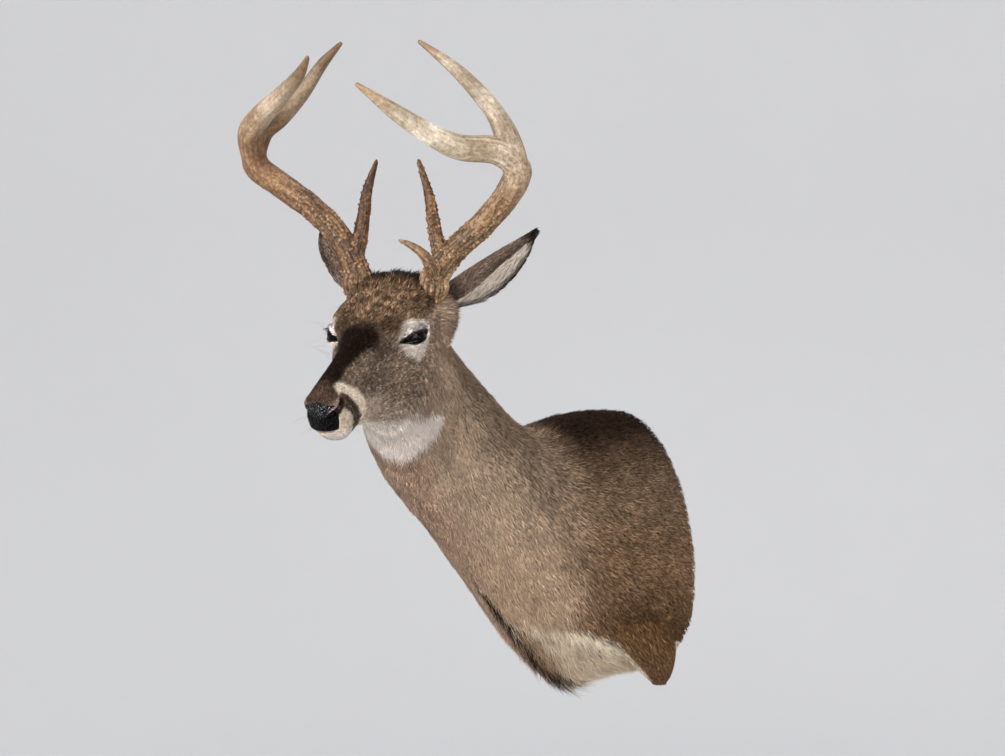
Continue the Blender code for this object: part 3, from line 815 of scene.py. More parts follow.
def lid_material():
    low = (0.3, (0.006, 0.005, 0.005))
    return mottled("lid", 0.38, 0.1, (700.0, 3.0), low, (0.8, (0.030, 0.022, 0.018)), 0.4, 0.0005)


def whisker_material():
    low = (0.3, (0.16, 0.13, 0.11))
    return mottled("whisker", 0.6, 0.5, (90.0, 1.0), low, (0.7, (0.5, 0.45, 0.40)))


def floor_material():
    low = (0.3, (0.655, 0.655, 0.66))
    return mottled("floor", 0.9, 0.1, (1.5, 2.0), low, (0.7, (0.66, 0.66, 0.665)))


def skin_material():
    look = Finish("skin", 0.85, 0.06)
    speckle = look.noise(420.0, 2.0)
    shade = look.ramp(speckle, (0.3, (0.5, 0.47, 0.45)), (0.7, (1.05, 1.03, 1.0)))
    return look.done(look.times(look.stored("coat"), shade), speckle, 0.6, 0.0015)


def nose_material():
    """Black pebbled skin whose wet specks shine where the pad faces up."""
    look = Finish("nose_pad", 0.22)
    cells = look.node("TexVoronoi", Vector=look.where(), Scale=430.0).outputs["Distance"]
    # The pebbles are paler on their tops, the skin's own tone, and darker in the cracks between them, which
    # is painted shade.
    shade = look.ramp(cells, (0.0, (2.4, 2.5, 2.7)), (0.4, (1.0, 1.0, 1.05)), (0.65, (0.3, 0.3, 0.3)))
    specks = look.ramp(look.noise(560.0, 2.0), (0.49, (0.04, 0.04, 0.04)), (0.59, (1.0, 1.0, 1.0)))
    look.feed(look.shader["Specular IOR Level"], look.times(look.stored("gloss"), specks))
    return look.done(look.times(look.stored("coat"), shade), cells, 1.0, 0.0024, True)


def coat_material():
    """Each tuft is dark at its root, paler towards its end and dark again at the tip, over its own tone."""
    look = Finish("coat", 0.7, 0.04)
    bands = look.ramp(
        look.stored("tip", "Fac"),
        (0.0, (0.34, 0.30, 0.27)),
        (0.35, (0.78, 0.77, 0.76)),
        (0.66, (1.34, 1.32, 1.28)),
        (0.84, (1.2, 1.16, 1.1)),
        (1.0, (0.5, 0.45, 0.41)),
    )
    return look.done(look.times(look.stored("coat"), bands))


def antler_material():
    look = Finish("antler", 0.5, 0.25)
    stain = look.noise(230.0, 6.0, 0.7)
    crisp = look.ramp(stain, (0.38, (0.0, 0.0, 0.0)), (0.56, (1.0, 1.0, 1.0)))
    colour = look.mix("MIX", crisp, look.stored("groove"), look.stored("bone"))
    return look.done(colour, look.noise(900.0, 3.0), 0.35, 0.0006)


def plywood_material():
    """Grain that runs up the board, and plies across its thickness."""
    look = Finish("plywood", 0.75)
    stretch = look.node("Mapping", Vector=look.where(), Scale=(9.0, 9.0, 1.2)).outputs["Vector"]
    grain = look.noise(9.0, 8.0, 0.6, stretch)
    wood = ((0.3, (0.36, 0.22, 0.11)), (0.55, (0.55, 0.38, 0.21)), (0.8, (0.66, 0.49, 0.30)))
    depth = look.node("SeparateXYZ", Vector=look.where()).outputs["Y"]
    scaled = look.node("Math")
    scaled.operation = "MULTIPLY"
    plies = look.node("Math")
    plies.operation = "SINE"
    look.feed(scaled.inputs[0], depth)
    look.feed(scaled.inputs[1], 2600.0)
    look.feed(plies.inputs[0], scaled.outputs[0])
    layers = look.ramp(plies.outputs[0], (0.2, (0.78, 0.74, 0.70)), (0.6, (1.0, 1.0, 1.0)))
    return look.done(look.times(look.ramp(grain, *wood), layers), grain, 0.25, 0.0006)


# ---- ears ----

EAR_POINT = unit(EAR_TIP - EAR_BASE)
EAR_LENGTH = float(np.linalg.norm(EAR_TIP - EAR_BASE))
EAR_FACE = unit(EAR_OPEN - EAR_POINT * (EAR_OPEN @ EAR_POINT))
EAR_CROSS = np.cross(EAR_POINT, EAR_FACE)
EAR_SKIN = 0.10
EAR_THICKNESS = 0.20
EAR_GRID = np.broadcast_arrays(np.linspace(0.0, 0.995, 70)[:, None], np.linspace(-0.97, 0.97, 44)[None, :])


def ear_section(share):
    """The ear's flat half width at shares of its length, and the radius that it curls round."""
    share = np.clip(share, 0.0, 1.0)
    flat = EAR_HALF_WIDTH * (1.0 - share**3.5) * (0.72 + 0.28 * np.minimum(share / 0.35, 1.0)) + 0.45
    return flat, np.maximum(flat / (1.6 + 1.1 * np.exp(-((share / 0.35) ** 2))), 1.6)


def ear_surface(side, share, across, inward=0.0):
    """Places on the ear's outer face, or inside it. share runs base to tip, across edge to edge."""
    share, across, inward = np.broadcast_arrays(np.asarray(share, float), across, inward)
    flat, radius = ear_section(share)
    angle = flat / radius * across
    out = radius - (radius - inward) * np.cos(angle)
    aside = (radius - inward) * np.sin(angle)
    spot = EAR_BASE + EAR_POINT * (EAR_LENGTH * share)[..., None]
    spot = spot + EAR_FACE * out[..., None] + EAR_CROSS * aside[..., None]
    return head_place(on_side(spot, side))


def ear_mesh(side):
    """The ear as a thin closed shell, thickest along its middle."""
    share, across = EAR_GRID
    thick = EAR_THICKNESS * (1.0 - 0.6 * np.abs(across) ** 3)
    outer = ear_surface(side, share, across, EAR_SKIN)
    inner = ear_surface(side, share, across[:, ::-1], EAR_SKIN + thick[:, ::-1])
    return closed_tube("ear", np.concatenate([outer, inner], axis=1))


def ear_colour(share, across, inside):
    """Grizzled back with a dark edge and black tip; pale hair inside."""
    edge = 0.75 * soft(np.abs(across), 0.72, 0.95) * soft(share, 0.25, 0.6)
    back = layered(
        EAR_BACK,
        (EAR_TIP_BLACK, np.maximum(edge, soft(share, 0.80, 0.93))),
        (EAR_TIP_BLACK, 0.8 * soft(share, 0.30, 0.16) * soft(share, 0.02, 0.1)),
    )
    rim = np.maximum(soft(share, 0.86, 0.95), 0.85 * soft(np.abs(across), 0.90, 0.98))
    return np.where(inside[..., None], blend(EAR_WHITE, EAR_TIP_BLACK, rim), back)


# ---- foreleg stubs ----

LEG_TOP = -8.0
# The stub's skin lies inside the solid: these shares of its width and of its height are left.
LEG_WIDTH_SHARE = 0.87
LEG_HEIGHT_SHARE = 0.935
LEG_LAST = len(LEG_SECTIONS) - 1
LEG_ROWS = 40
LEG_COLUMNS = 72
LEG_GRID = np.meshgrid(np.linspace(0.0, LEG_LAST, LEG_ROWS), turns(LEG_COLUMNS), indexing="ij")
LEG_GRID = [values.ravel() for values in LEG_GRID]


def leg_surface(side, place, angle, outward=0.0):
    """Places on the stub's skin, or lifted off it."""
    rows = smooth_rows(LEG_SECTIONS, place)
    half_width = LEG_WIDTH_SHARE * rows[:, 3] + outward
    half_depth = LEG_WIDTH_SHARE * rows[:, 4] + outward
    x = side * (rows[:, 1] + half_width * np.cos(angle))
    y = -(rows[:, 0] + half_depth * np.sin(angle))
    z = LEG_TOP + (rows[:, 2] - LEG_TOP) * LEG_HEIGHT_SHARE
    return np.stack([x, y, z], axis=-1) * CM


def leg_colour(place, angle):
    """Brown outside, darker low down, with a pale fringe along its front edge and pale hair inside."""
    colour = blend(LOW_SHOULDER, LEG_BROWN, soft(place, 0.6, 2.0))
    colour = colour * (1.0 - 0.16 * soft(place, 2.6, 4.0) + 0.08 * wave(3.0 * place, 4.0 * angle))[..., None]
    front = soft(np.cos(angle - 0.62 * math.pi), 0.80, 0.93)
    inner = soft(np.cos(angle), -0.1, -0.5)
    return layered(
        colour,
        (CREAM, 0.85 * inner * soft(place, 4.6, 3.4)),
        (CREAM, 0.7 * front * soft(place, 4.7, 3.6)),
    )


# ---- the skin ----

SKIN_COLUMNS = 340
TRUNK_ROWS = 100
HEAD_ROWS = 250
HEAD_FROM = 9.8


def build_skin(finish, nose_finish):
    """One closed skin over all the flesh, with ears and foreleg stubs joined into it."""
    trunk = np.linspace(0.0, HEAD_FROM, TRUNK_ROWS, endpoint=False)
    places = np.concatenate([trunk, np.linspace(HEAD_FROM, LAST, HEAD_ROWS)])[:, None]
    angles = turns(SKIN_COLUMNS)[None, :]
    rings, spots = surface(places, angles)
    body = object_from(closed_tube("skin", rings, end=head_place(NOSE_TIP)), "skin", finish)
    sources = [rings]
    colours = [markings(places, angles, spots)]
    others = []
    for side in (1, -1):
        others.append(object_from(ear_mesh(side), "ear_shell"))
        for inside, inward in ((False, EAR_SKIN), (True, EAR_SKIN + EAR_THICKNESS)):
            sources.append(ear_surface(side, *EAR_GRID, inward))
            colours.append(ear_colour(*EAR_GRID, np.full(EAR_GRID[0].shape, inside)))
        leg = leg_surface(side, *LEG_GRID)
        others.append(object_from(closed_tube("leg", leg.reshape(LEG_ROWS, LEG_COLUMNS, 3)), "leg_shell"))
        sources.append(leg)
        colours.append(leg_colour(*LEG_GRID))
    mesh = joined(body, others)

    # Every point of the union takes the colour of the surface that it came from.
    sources = np.concatenate([part.reshape(-1, 3) for part in sources])
    colours = np.concatenate([part.reshape(-1, 3) for part in colours])
    tree = kdtree.KDTree(len(sources))
    for index, point in enumerate(sources):
        tree.insert(point, index)
    tree.balance()
    found = [tree.find(vert.co)[1] for vert in mesh.vertices]
    paint(mesh, "coat", colours[found])
    nose = np.zeros((2, len(sources)))
    nose[:, : spots[..., 0].size] = nose_pad(spots).ravel(), nose_gloss(spots).ravel()
    pad, gloss = nose[:, found]
    paint(mesh, "gloss", gloss)
    mesh.materials.clear()
    mesh.materials.append(finish)
    mesh.materials.append(nose_finish)
    corners = numbers(mesh.loops, "vertex_index")
    first_points = corners[numbers(mesh.polygons, "loop_start")]
    mesh.polygons.foreach_set("material_index", (pad[first_points] > 0.5).astype(np.int32))
    return body


# ---- the coat ----

# A tuft's thickness as a share of its half width.
TUFT_HEIGHT = 0.45
# How far a tuft's patch reaches from its root's place on the map.
PATCH = 0.0015
# The share of a tuft's length at which it is widest.
WAIST = 0.42
# A small step along or round the flesh, to measure how long such steps are.
STEP = 0.01


def tufts(name, finish, line, wide, normal, colour, unwrap, keep=slice(None)):
    """Thin solid locks: each runs from a buried root over a three-sided waist to its tip.

    line holds the roots, middles and tips. White ones are banded less.
    """
    root, middle, tip = (part[keep] for part in line)
    wide = wide[keep][:, None]
    colour = colour[keep]
    way = unit(tip - root)
    cross = unit(np.cross(normal[keep], way))
    rise = unit(np.cross(way, cross)) * (TUFT_HEIGHT * wide)
    points = np.stack([root, middle + cross * wide, middle + rise, middle - cross * wide, tip], axis=1)
    pattern = np.array(((0, 2, 1), (0, 3, 2), (0, 1, 3), (4, 1, 2), (4, 2, 3), (4, 3, 1)))
    faces = (np.arange(len(root))[:, None, None] * 5 + pattern).reshape(-1, 3)
    mesh = mesh_from(name, points.reshape(-1, 3), faces, 3)
    paint(mesh, "coat", np.repeat(colour, 5, axis=0))
    white = soft(colour.mean(axis=1), 0.22, 0.5)[:, None]
    bands = np.array((0.0, 0.42, 0.5, 0.42, 1.0))[None, :]
    paint(mesh, "tip", (bands + (0.56 - bands) * 0.55 * white).ravel())
    layer = mesh.uv_layers.new(name="OFBake")
    patch = PATCH * np.array(((0.0, -1.0), (-1.0, 0.0), (0.0, 0.0), (1.0, 0.0), (0.0, 1.0)))
    spots = (unwrap[keep][:, None, :] + patch).reshape(-1, 2)
    layer.uv.foreach_set("vector", spots[faces.ravel()].astype(np.float32).ravel())
    piece = object_from(mesh, name, finish)
    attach(piece, "root")


def chart(first, second):
    """Roots' places on the map from two shares, a little inside its edges."""
    return 0.02 + 0.96 * np.stack([first, second], axis=1)


def half_widths(rng, count, size):
    """Random half widths in metres, near a size given in centimetres."""
    return size * CM * (0.8 + 0.5 * rng.random(count))


def grid_table():
    """Cell areas of the flesh, for an even scatter over it."""
    places = np.linspace(0.0, LAST - 0.02, 461)
    angles = np.linspace(0.0, math.tau, 241)
    points, _ = surface(places[:, None], angles[None, :])
    along = points[1:, :-1] - points[:-1, :-1]
    across = points[:-1, 1:] - points[:-1, :-1]
    return places, angles, np.linalg.norm(np.cross(along, across), axis=-1)


GRID = grid_table()


def scatter(rng, count, first, last):
    """Random places and angles, evenly dense between two places."""
    places, angles, area = GRID
    middle = 0.5 * (places[1:] + places[:-1])[:, None]
    weight = np.where((middle >= first) & (middle <= last), area, 0.0).ravel()
    cell = rng.choice(weight.size, count, p=weight / weight.sum())
    row, column = np.divmod(cell, area.shape[1])
    place = places[row] + rng.random(count) * (places[1] - places[0])
    angle = angles[column] + rng.random(count) * (angles[1] - angles[0])
    return place, angle


def mottle(points, scale):
    """Smooth noise of about -0.6 to 0.6 over places in metres, with scale lumps to a metre."""
    return np.array([noise.noise(Vector(point) * scale) for point in points])


def grain_of(rng, count, most):
    """Each tuft's own shade, from very dark to a little pale."""
    return np.clip(rng.standard_normal(count), -1.8, most)


# The golden hair between brows and crown: centre, radii and edge.
GOLDEN_BROW = ((-2.0, 0.0, 4.6), (5.0, 5.5, 2.2), 0.3)


def body_coat(name, seed, count, first, last, finish):
    """Tufts over the flesh between two places, each following the lie of the coat there."""
    rng = np.random.default_rng(seed)
    place, angle = scatter(rng, count, first, last)
    root, spot = surface(place, angle)
    ahead = surface(place + STEP, angle)[0] - root
    beside = surface(place, angle + STEP)[0] - root
    per_place = np.linalg.norm(ahead, axis=1) / STEP
    per_angle = np.linalg.norm(beside, axis=1) / STEP
    normal = unit(np.cross(beside, ahead))
    lean, length, wide, lift = lie_of_coat(place, angle, spot)

    lean = lean + 0.30 * rng.standard_normal(count) + 0.16 * wave(9.0 * place, 11.0 * angle)
    length = length * (0.75 + 0.5 * rng.random(count))
    down = np.where(np.sin(angle) >= 0.0, 1.0, -1.0)
    step_place = -np.cos(lean) * length * CM / np.maximum(per_place, 1e-5)
    step_angle = np.sin(lean) * down * length * CM / np.maximum(per_angle, 1e-3)
    rise = lift * (0.6 + 0.8 * rng.random(count)) * np.exp(0.6 * mottle(root, 110.0))
    middle, _ = surface(place + WAIST * step_place, angle + WAIST * step_angle, 0.55 * rise)
    tip, end_spot = surface(place + step_place, angle + step_angle, rise)
    keep = hair_grows(spot, 1.25) & hair_grows(end_spot, 1.12)
    root = root - normal * (0.0006 + 0.02 * lift * CM)[:, None]

    # A tuft takes the marking half way along it, a little astray, so that edges are soft.
    stray = 0.22 * length * CM * rng.standard_normal((2, count))
    seen_place = place + 0.5 * step_place + stray[0] / np.maximum(per_place, 1e-5)
    seen_place = np.clip(seen_place, 0.0, LAST)
    seen_angle = angle + 0.5 * step_angle + stray[1] / np.maximum(per_angle, 1e-3)
    colour = markings(seen_place, seen_angle, surface(seen_place, seen_angle)[1])
    golden = blob(spot, *GOLDEN_BROW)
    face = soft(place, 11.0, 12.5)
    evenness = 1.0 - 0.6 * soft(colour.mean(axis=1), 0.16, 0.45)
    grain = (0.44 + 0.24 * face + 0.2 * golden) * grain_of(rng, count, 1.1)
    lumps = 0.32 * mottle(root, 34.0) + (0.3 + 1.0 * golden) * mottle(root, 120.0)
    lumps = lumps + (0.35 + 0.9 * face) * mottle(root, 290.0)
    colour = colour * np.exp(evenness * (grain + lumps))[:, None]
    colour = colour * (1.0 + 0.02 * rng.standard_normal((count, 3)))
    wide = half_widths(rng, count, wide)
    unwrap = chart(place / LAST, angle % math.tau / math.tau)
    tufts(name, finish, (root, middle, tip), wide, normal, colour, unwrap, keep)


def lie_of_coat(place, angle, spot):
    """The hair's lean down from the way to the wall, in radians, and its length, half width and lift."""
    turn = from_top(angle)
    stops = (0.0, 5.0, 8.0, 9.6, 11.0, 13.0, 16.0, 19.0, 21.0, 23.0)
    length = np.interp(place, stops, (1.2, 1.1, 1.0, 1.05, 0.92, 0.66, 0.48, 0.36, 0.3, 0.22))
    wide = np.interp(place, stops, (0.062, 0.06, 0.052, 0.05, 0.046, 0.038, 0.034, 0.027, 0.021, 0.018))
    lift = np.interp(place, stops, (0.45, 0.4, 0.32, 0.34, 0.26, 0.22, 0.14, 0.09, 0.06, 0.04))
    lean = np.interp(place, stops, (0.55, 0.45, 0.25, 0.3, 0.25, 0.2, 0.2, 0.15, 0.1, 0.0)) * np.sin(turn)
    belly = soft(turn, 2.15, 2.5) * soft(place, 5.8, 5.0)
    keel = np.exp(-(((place - 3.0) / 0.35) ** 2) - ((turn - math.pi) / 0.25) ** 2)
    fray = soft(turn, 2.82, 3.0) * soft(place, 6.4, 5.6) * soft(place, 1.4, 2.2)
    bib = soft(place, 8.9, 9.4) * soft(place, 12.0, 10.6) * soft(turn, 1.8, 2.2)
    crown = blob(spot, (-7.5, 0.0, 5.2), (4.0, 4.6, 2.5), 0.5)
    collar = blob(mirrored(spot), (-8.0, 5.3, 3.0), (3.6, 3.2, 3.2), 0.45)
    for zone, longer, higher, wider in (
        (belly, 1.6, 0.5, -0.012),
        (keel, 1.6, 1.3, 0.0),
        (fray, 0.6, 0.45, 0.0),
        (bib, 0.7, 0.0, -0.015),
        (crown, 0.9, 0.45, 0.0),
        (blob(spot, *GOLDEN_BROW), 0.12, 0.0, 0.0),
        (collar, 0.5, 0.6, 0.0),
    ):
        length = length + longer * zone
        lift = lift + higher * zone
        wide = wide + wider * zone
    return lean, length, wide, lift


def hair_grows(spot, lids):
    """Leaves out the nose pad, the mouth's line, and the eye's opening out to lids times its size."""
    front, up, out = eye_axes(spot)
    bare = nose_pad(spot) > 0.35
    bare |= (almond(front, up) < lids) & (out > -0.6) & (np.abs(spot[:, 1]) > 2.0)
    mouth = np.abs(spot[:, 2] - mouth_height(spot[:, 0])) < 0.09
    bare |= mouth & (spot[:, 0] > MOUTH_CORNER)
    return ~bare


def ear_coat(name, seed, side, finish, back_count, hollow_count):
    """Short hair on the ear's back, and longer pale hair in its hollow."""
    rng = np.random.default_rng(seed)
    count = back_count + hollow_count
    inside = np.arange(count) >= back_count
    share = 0.04 + 0.95 * rng.random(count)
    across = np.sign(rng.random(count) - 0.5) * (1.0 - rng.random(count) ** 1.3 * 0.99)
    flat, _ = ear_section(share)
    fits = rng.random(count) < flat / EAR_HALF_WIDTH
    skin = np.where(inside, EAR_SKIN + EAR_THICKNESS, EAR_SKIN)
    outward = np.where(inside, 1.0, -1.0)
    length = np.where(inside, 1.5 + 0.9 * soft(share, 0.6, 0.2), 0.85) * (0.7 + 0.6 * rng.random(count))
    lean = 0.18 * rng.standard_normal(count) + np.where(inside, -0.35 * across, 0.12 * across)
    tip_share = np.minimum(share + np.cos(lean) * length / EAR_LENGTH, 1.0 + 0.02 * rng.random(count))
    tip_across = np.clip(across + np.sin(lean) * length / flat, -1.03, 1.03)
    middle_share = share + 0.45 * (tip_share - share)
    middle_across = across + 0.45 * (tip_across - across)
    rise = np.where(inside, 0.16, 0.11) * (0.5 + rng.random(count))
    root = ear_surface(side, share, across, skin - 0.06 * outward)
    middle = ear_surface(side, middle_share, middle_across, skin + 0.7 * rise * outward)
    tip = ear_surface(side, tip_share, tip_across, skin + rise * outward)
    normal = unit(ear_surface(side, share, across, skin + 0.2 * outward) - root)
    speckle = np.where(inside, 0.08, 0.42) * rng.standard_normal(count)
    colour = ear_colour(tip_share, across, inside) * np.exp(speckle)[:, None]
    wide = half_widths(rng, count, np.where(inside, 0.045, 0.05))
    unwrap = np.stack([0.02 + 0.96 * share, 0.5 + 0.23 * across + np.where(inside, 0.25, -0.25)], axis=1)
    tufts(name, finish, (root, middle, tip), wide, normal, colour, unwrap, fits)


def ear_root_coat(name, seed, side, finish, count):
    """Long hair that fans out over the ear's root and fills the head's outline under the ear."""
    rng = np.random.default_rng(seed)
    place = rng.uniform(10.4, 13.4, 12 * count)
    angle = side * rng.uniform(0.9, 2.5, 12 * count)
    _, spot = surface(place, angle)
    far = (((mirrored(spot) - (-10.6, 6.6, -1.4)) / (3.4, 2.8, 4.4)) ** 2).sum(axis=1)
    chosen = np.nonzero(far < rng.uniform(0.3, 1.5, len(far)))[0][:count]
    place, angle, spot = place[chosen], angle[chosen], spot[chosen]
    count = len(chosen)
    far = np.sqrt(far[chosen])
    share = soft(spot[:, 2], -3.4, 1.2)
    way = np.stack([-0.45 - 0.3 * share, 0.22 + 0.42 * share, -0.87 + 0.83 * share], axis=1)
    way = on_side(unit(way + 0.16 * rng.standard_normal((count, 3))), side)
    length = (1.4 + 1.3 * share) * (0.7 + 0.5 * rng.random(count)) * (1.15 - 0.55 * far)
    away = unit(spot - np.array((-10.5, 0.0, -1.0)))
    root, _ = surface(place, angle, -0.08)
    middle = head_place(spot + (0.45 * way + 0.34 * away) * length[:, None])
    tip = head_place(spot + (way + 0.3 * away) * length[:, None])
    _, seen = surface(place - 0.2, angle)
    pale = soft(spot[:, 0] - 0.4 * spot[:, 2], -9.8, -12.2) * soft(spot[:, 2], -2.4, -0.2)
    colour = blend(markings(place - 0.2, angle, seen), EAR_FRONT_PINK, 0.45 * pale)
    colour = colour * np.exp(0.42 * grain_of(rng, count, 1.2))[:, None]
    wide = half_widths(rng, count, 0.062)
    unwrap = chart(place / LAST, angle % math.tau / math.tau)
    tufts(name, finish, (root, middle, tip), wide, unit(away), colour, unwrap)


def leg_coat(name, seed, side, finish, count):
    """Short hair down the foreleg stub, past its end."""
    rng = np.random.default_rng(seed)
    share = rng.random(count)
    angle = math.tau * rng.random(count)
    place = share * LEG_LAST
    step = 0.45 * (0.7 + 0.6 * rng.random(count))
    swing = 0.10 * rng.standard_normal(count)
    root = leg_surface(side, place, angle, -0.06)
    middle = leg_surface(side, np.minimum(place + 0.45 * step, LEG_LAST), angle + 0.45 * swing, 0.2)
    tip = leg_surface(side, np.minimum(place + step, LEG_LAST), angle + swing, 0.38)
    tip[:, 2] -= 0.003 * soft(place + step, LEG_LAST, LEG_LAST + 0.6)
    normal = unit(leg_surface(side, place, angle, 0.3) - root)
    colour = leg_colour(place + 0.5 * step, angle) * np.exp(0.34 * rng.standard_normal(count))[:, None]
    wide = half_widths(rng, count, 0.075)
    tufts(name, finish, (root, middle, tip), wide, normal, colour, chart(share, angle / math.tau))


# ---- eyes ----

RIM_RADIUS = 0.095
RIM_GAP = 0.06
# The rim never lies nearer to the eye's middle than this.
RIM_LEAST = 0.62


def eye_spot(front, up, out, side):
    """Head points from the eye's own axes."""
    spot = EYE_CENTRE + EYE_FRONT * front[..., None] + EYE_UP * up[..., None] + EYE_OUT * out[..., None]
    return on_side(spot, side)


def eye_ball(name, side, finish):
    """The glass eye: a ball in the eye's own axes, drawn back where the lids cover it."""
    mesh = bpy.data.meshes.new(name)
    builder = bmesh.new()
    bmesh.ops.create_uvsphere(builder, u_segments=64, v_segments=40, radius=EYE_RADIUS)
    for vert in builder.verts:
        front, up, out = (np.array(value) for value in vert.co)
        out = out - 0.6 * soft(almond(front, up), 1.1, 2.2)
        vert.co = head_place(eye_spot(front, up, out, side))
    face_out(builder, mesh)
    return object_from(mesh, name, finish)


def rim_line(steps=96):
    """The opening's edge, in the eye's own axes."""
    angles = turns(steps)
    front = np.cos(angles)
    up = np.sin(angles)
    for _ in range(30):
        shrink = almond(front, up) ** 0.7
        front = front / shrink
        up = up / shrink
    return front, up


def over_ball(front, up, gap, least):
    """How far out the eyeball's surface lies, with a gap over it."""
    return np.sqrt(np.maximum((EYE_RADIUS + gap) ** 2 - front**2 - up**2, least))


def eyelid(name, side, finish, columns=10):
    """The bare rim round the eye, a soft ring lying on the eyeball."""
    front, up = rim_line()
    out = np.maximum(over_ball(front, up, RIM_GAP, 0.0), RIM_LEAST)
    line = head_place(eye_spot(front, up, out, side))
    outward = unit(head_place(eye_spot(front, up, out + 1.0, side)) - line)
    cross = unit(np.cross(unit(np.roll(line, -1, axis=0) - np.roll(line, 1, axis=0)), outward))
    radius = RIM_RADIUS * CM * (1.0 + 0.25 * np.sin(turns(len(line))))
    rings = tube_rings(line, radius, cross, outward, turns(columns))
    faces = loft_faces(len(line) + 1, columns) % (len(line) * columns)
    mesh = mesh_from(name, rings.reshape(-1, 3), faces, 4)
    builder = bmesh.new()
    builder.from_mesh(mesh)
    face_out(builder, mesh)
    return object_from(mesh, name, finish)


# ---- antlers ----

BONE_DARK = tone(147, 115, 83)
BONE_GOLD = tone(136, 106, 77)
BONE_PALE = tone(168, 157, 139)
BONE_TIP = tone(137, 114, 88)
# The pearls' colour is partly their own worn pale tone and partly a painted highlight.
BONE_PEARL_PALE_AND_HIGHLIGHT = tone(206, 172, 138)

# Each tine's middle line in the head's axes, with its radius.
ANTLERS = {
    "left": {
        "beam": (
            (-8.0, 5.1, 2.0, 1.5), (-8.3, 5.4, 3.7, 2.1), (-8.8, 5.9, 5.1, 1.8), (-9.9, 8.2, 7.9, 1.6),
            (-10.7, 12.2, 11.2, 1.6), (-11.1, 15.8, 14.8, 1.7), (-10.9, 17.9, 18.0, 1.75),
            (-10.7, 17.9, 19.5, 1.7), (-10.6, 17.7, 20.6, 1.2),
        ),
        "main": (
            (-10.8, 18.0, 19.2, 1.5), (-9.4, 16.0, 21.8, 1.7), (-7.6, 12.0, 22.9, 1.6),
            (-5.8, 8.7, 25.5, 1.3), (-4.0, 5.3, 29.1, 0.95), (-2.4, 2.0, 32.8, 0.3),
        ),
        "second": (
            (-10.7, 17.9, 18.9, 1.7), (-11.0, 17.3, 22.2, 1.6), (-12.1, 15.7, 25.4, 1.25),
            (-13.6, 12.7, 28.5, 1.05), (-15.0, 9.3, 31.2, 0.8), (-16.1, 5.1, 34.0, 0.3),
        ),
        "brow": (
            (-9.2, 6.8, 5.6, 1.0), (-10.6, 5.9, 9.2, 0.92), (-12.0, 5.2, 11.6, 0.82),
            (-13.5, 4.5, 14.3, 0.65), (-15.3, 3.0, 18.5, 0.28),
        ),
        "kicker": (
            (-8.2, 5.7, 4.9, 0.8), (-6.5, 6.4, 6.2, 0.8), (-5.8, 6.1, 8.8, 0.68),
            (-5.2, 4.8, 10.6, 0.5), (-4.6, 3.3, 11.7, 0.25),
        ),
    },
    "right": {
        "beam": (
            (-8.0, -5.1, 2.0, 1.5), (-8.3, -5.3, 3.8, 2.1), (-8.9, -5.5, 5.3, 1.8), (-10.2, -7.6, 9.5, 1.6),
            (-11.1, -10.9, 12.9, 1.6), (-11.6, -15.0, 16.0, 1.7), (-11.6, -18.3, 18.6, 1.75),
            (-11.5, -18.8, 20.1, 1.7), (-11.4, -18.9, 21.2, 1.3),
        ),
        "main": (
            (-11.5, -18.7, 19.5, 1.65), (-10.9, -18.3, 23.8, 1.7), (-9.4, -15.4, 26.8, 1.45),
            (-7.2, -10.4, 30.5, 1.05), (-5.6, -7.0, 33.2, 0.75), (-4.4, -4.8, 35.7, 0.3),
        ),
        "second": (
            (-11.6, -18.9, 20.0, 1.3), (-12.6, -17.4, 23.5, 1.35), (-13.6, -15.0, 25.1, 1.2),
            (-14.9, -11.8, 28.0, 1.0), (-15.8, -8.8, 31.4, 0.75), (-16.6, -5.9, 34.0, 0.3),
        ),
        "brow": (
            (-9.2, -6.1, 5.4, 1.1), (-10.6, -5.1, 9.1, 1.0), (-12.2, -4.7, 12.0, 0.85),
            (-13.8, -4.3, 14.9, 0.65), (-15.3, -3.0, 18.5, 0.28),
        ),
    },
}
# Where each tine's foot and tip stand between the burr (0) and the palest ends (1), and how dark each tine
# is next to its beam.
TINES = {
    "beam": (0.0, 0.62, (1.0, 1.0, 1.0)),
    "main": (0.55, 1.0, (0.95, 0.95, 0.95)),
    "second": (0.55, 1.0, (0.79, 0.76, 0.75)),
    "brow": (0.02, 0.42, (0.64, 0.54, 0.45)),
    "kicker": (0.2, 0.55, (0.95, 0.95, 0.95)),
}
# Where each antler turns pale, and how dark the right one is next to the left.
PALE_FROM = {"left": (0.42, 0.72), "right": (0.52, 0.9)}
SIDE_SHADE = {"left": (1.0, 1.0, 1.0), "right": (0.75, 0.69, 0.65)}


# The bone is evened out with cells of this size; its grooves and pearls stand out this far, all in metres.
EVEN_CELL = 0.0014
GROOVE_DEPTH = 0.0012
PEARL_HEIGHT = 0.0034
PEARLS_TO_METRE = 215.0
# Any way that no tine starts out along.
ACROSS = (0.3, 0.2, 0.9)


def tine_frame(rows, steps):
    """A tine's middle line and radius in metres, its way, and two ways across it that don't twist."""
    line = smooth_rows(rows, np.linspace(0.0, len(rows) - 1, steps))
    centre = head_place(line[:, :3])
    way = unit(np.gradient(centre, axis=0))
    side = unit(np.cross(way[0], ACROSS))
    sides = []
    for ahead in way:
        side = unit(side - ahead * (side @ ahead))
        sides.append(side)
    return centre, line[:, 3] * CM, way, np.array(sides), np.cross(way, sides)


def tine_tube(rows):
    """One tine as a closed tapering tube with a rounded tip."""
    centre, radius, way, side, other = tine_frame(rows, 60)
    end = centre[-1] + way[-1] * radius[-1] * 1.2
    start = centre[0] - way[0] * radius[0] * 0.3
    return closed_tube("tine", tube_rings(centre, radius, side, other, turns(40)), start, end)


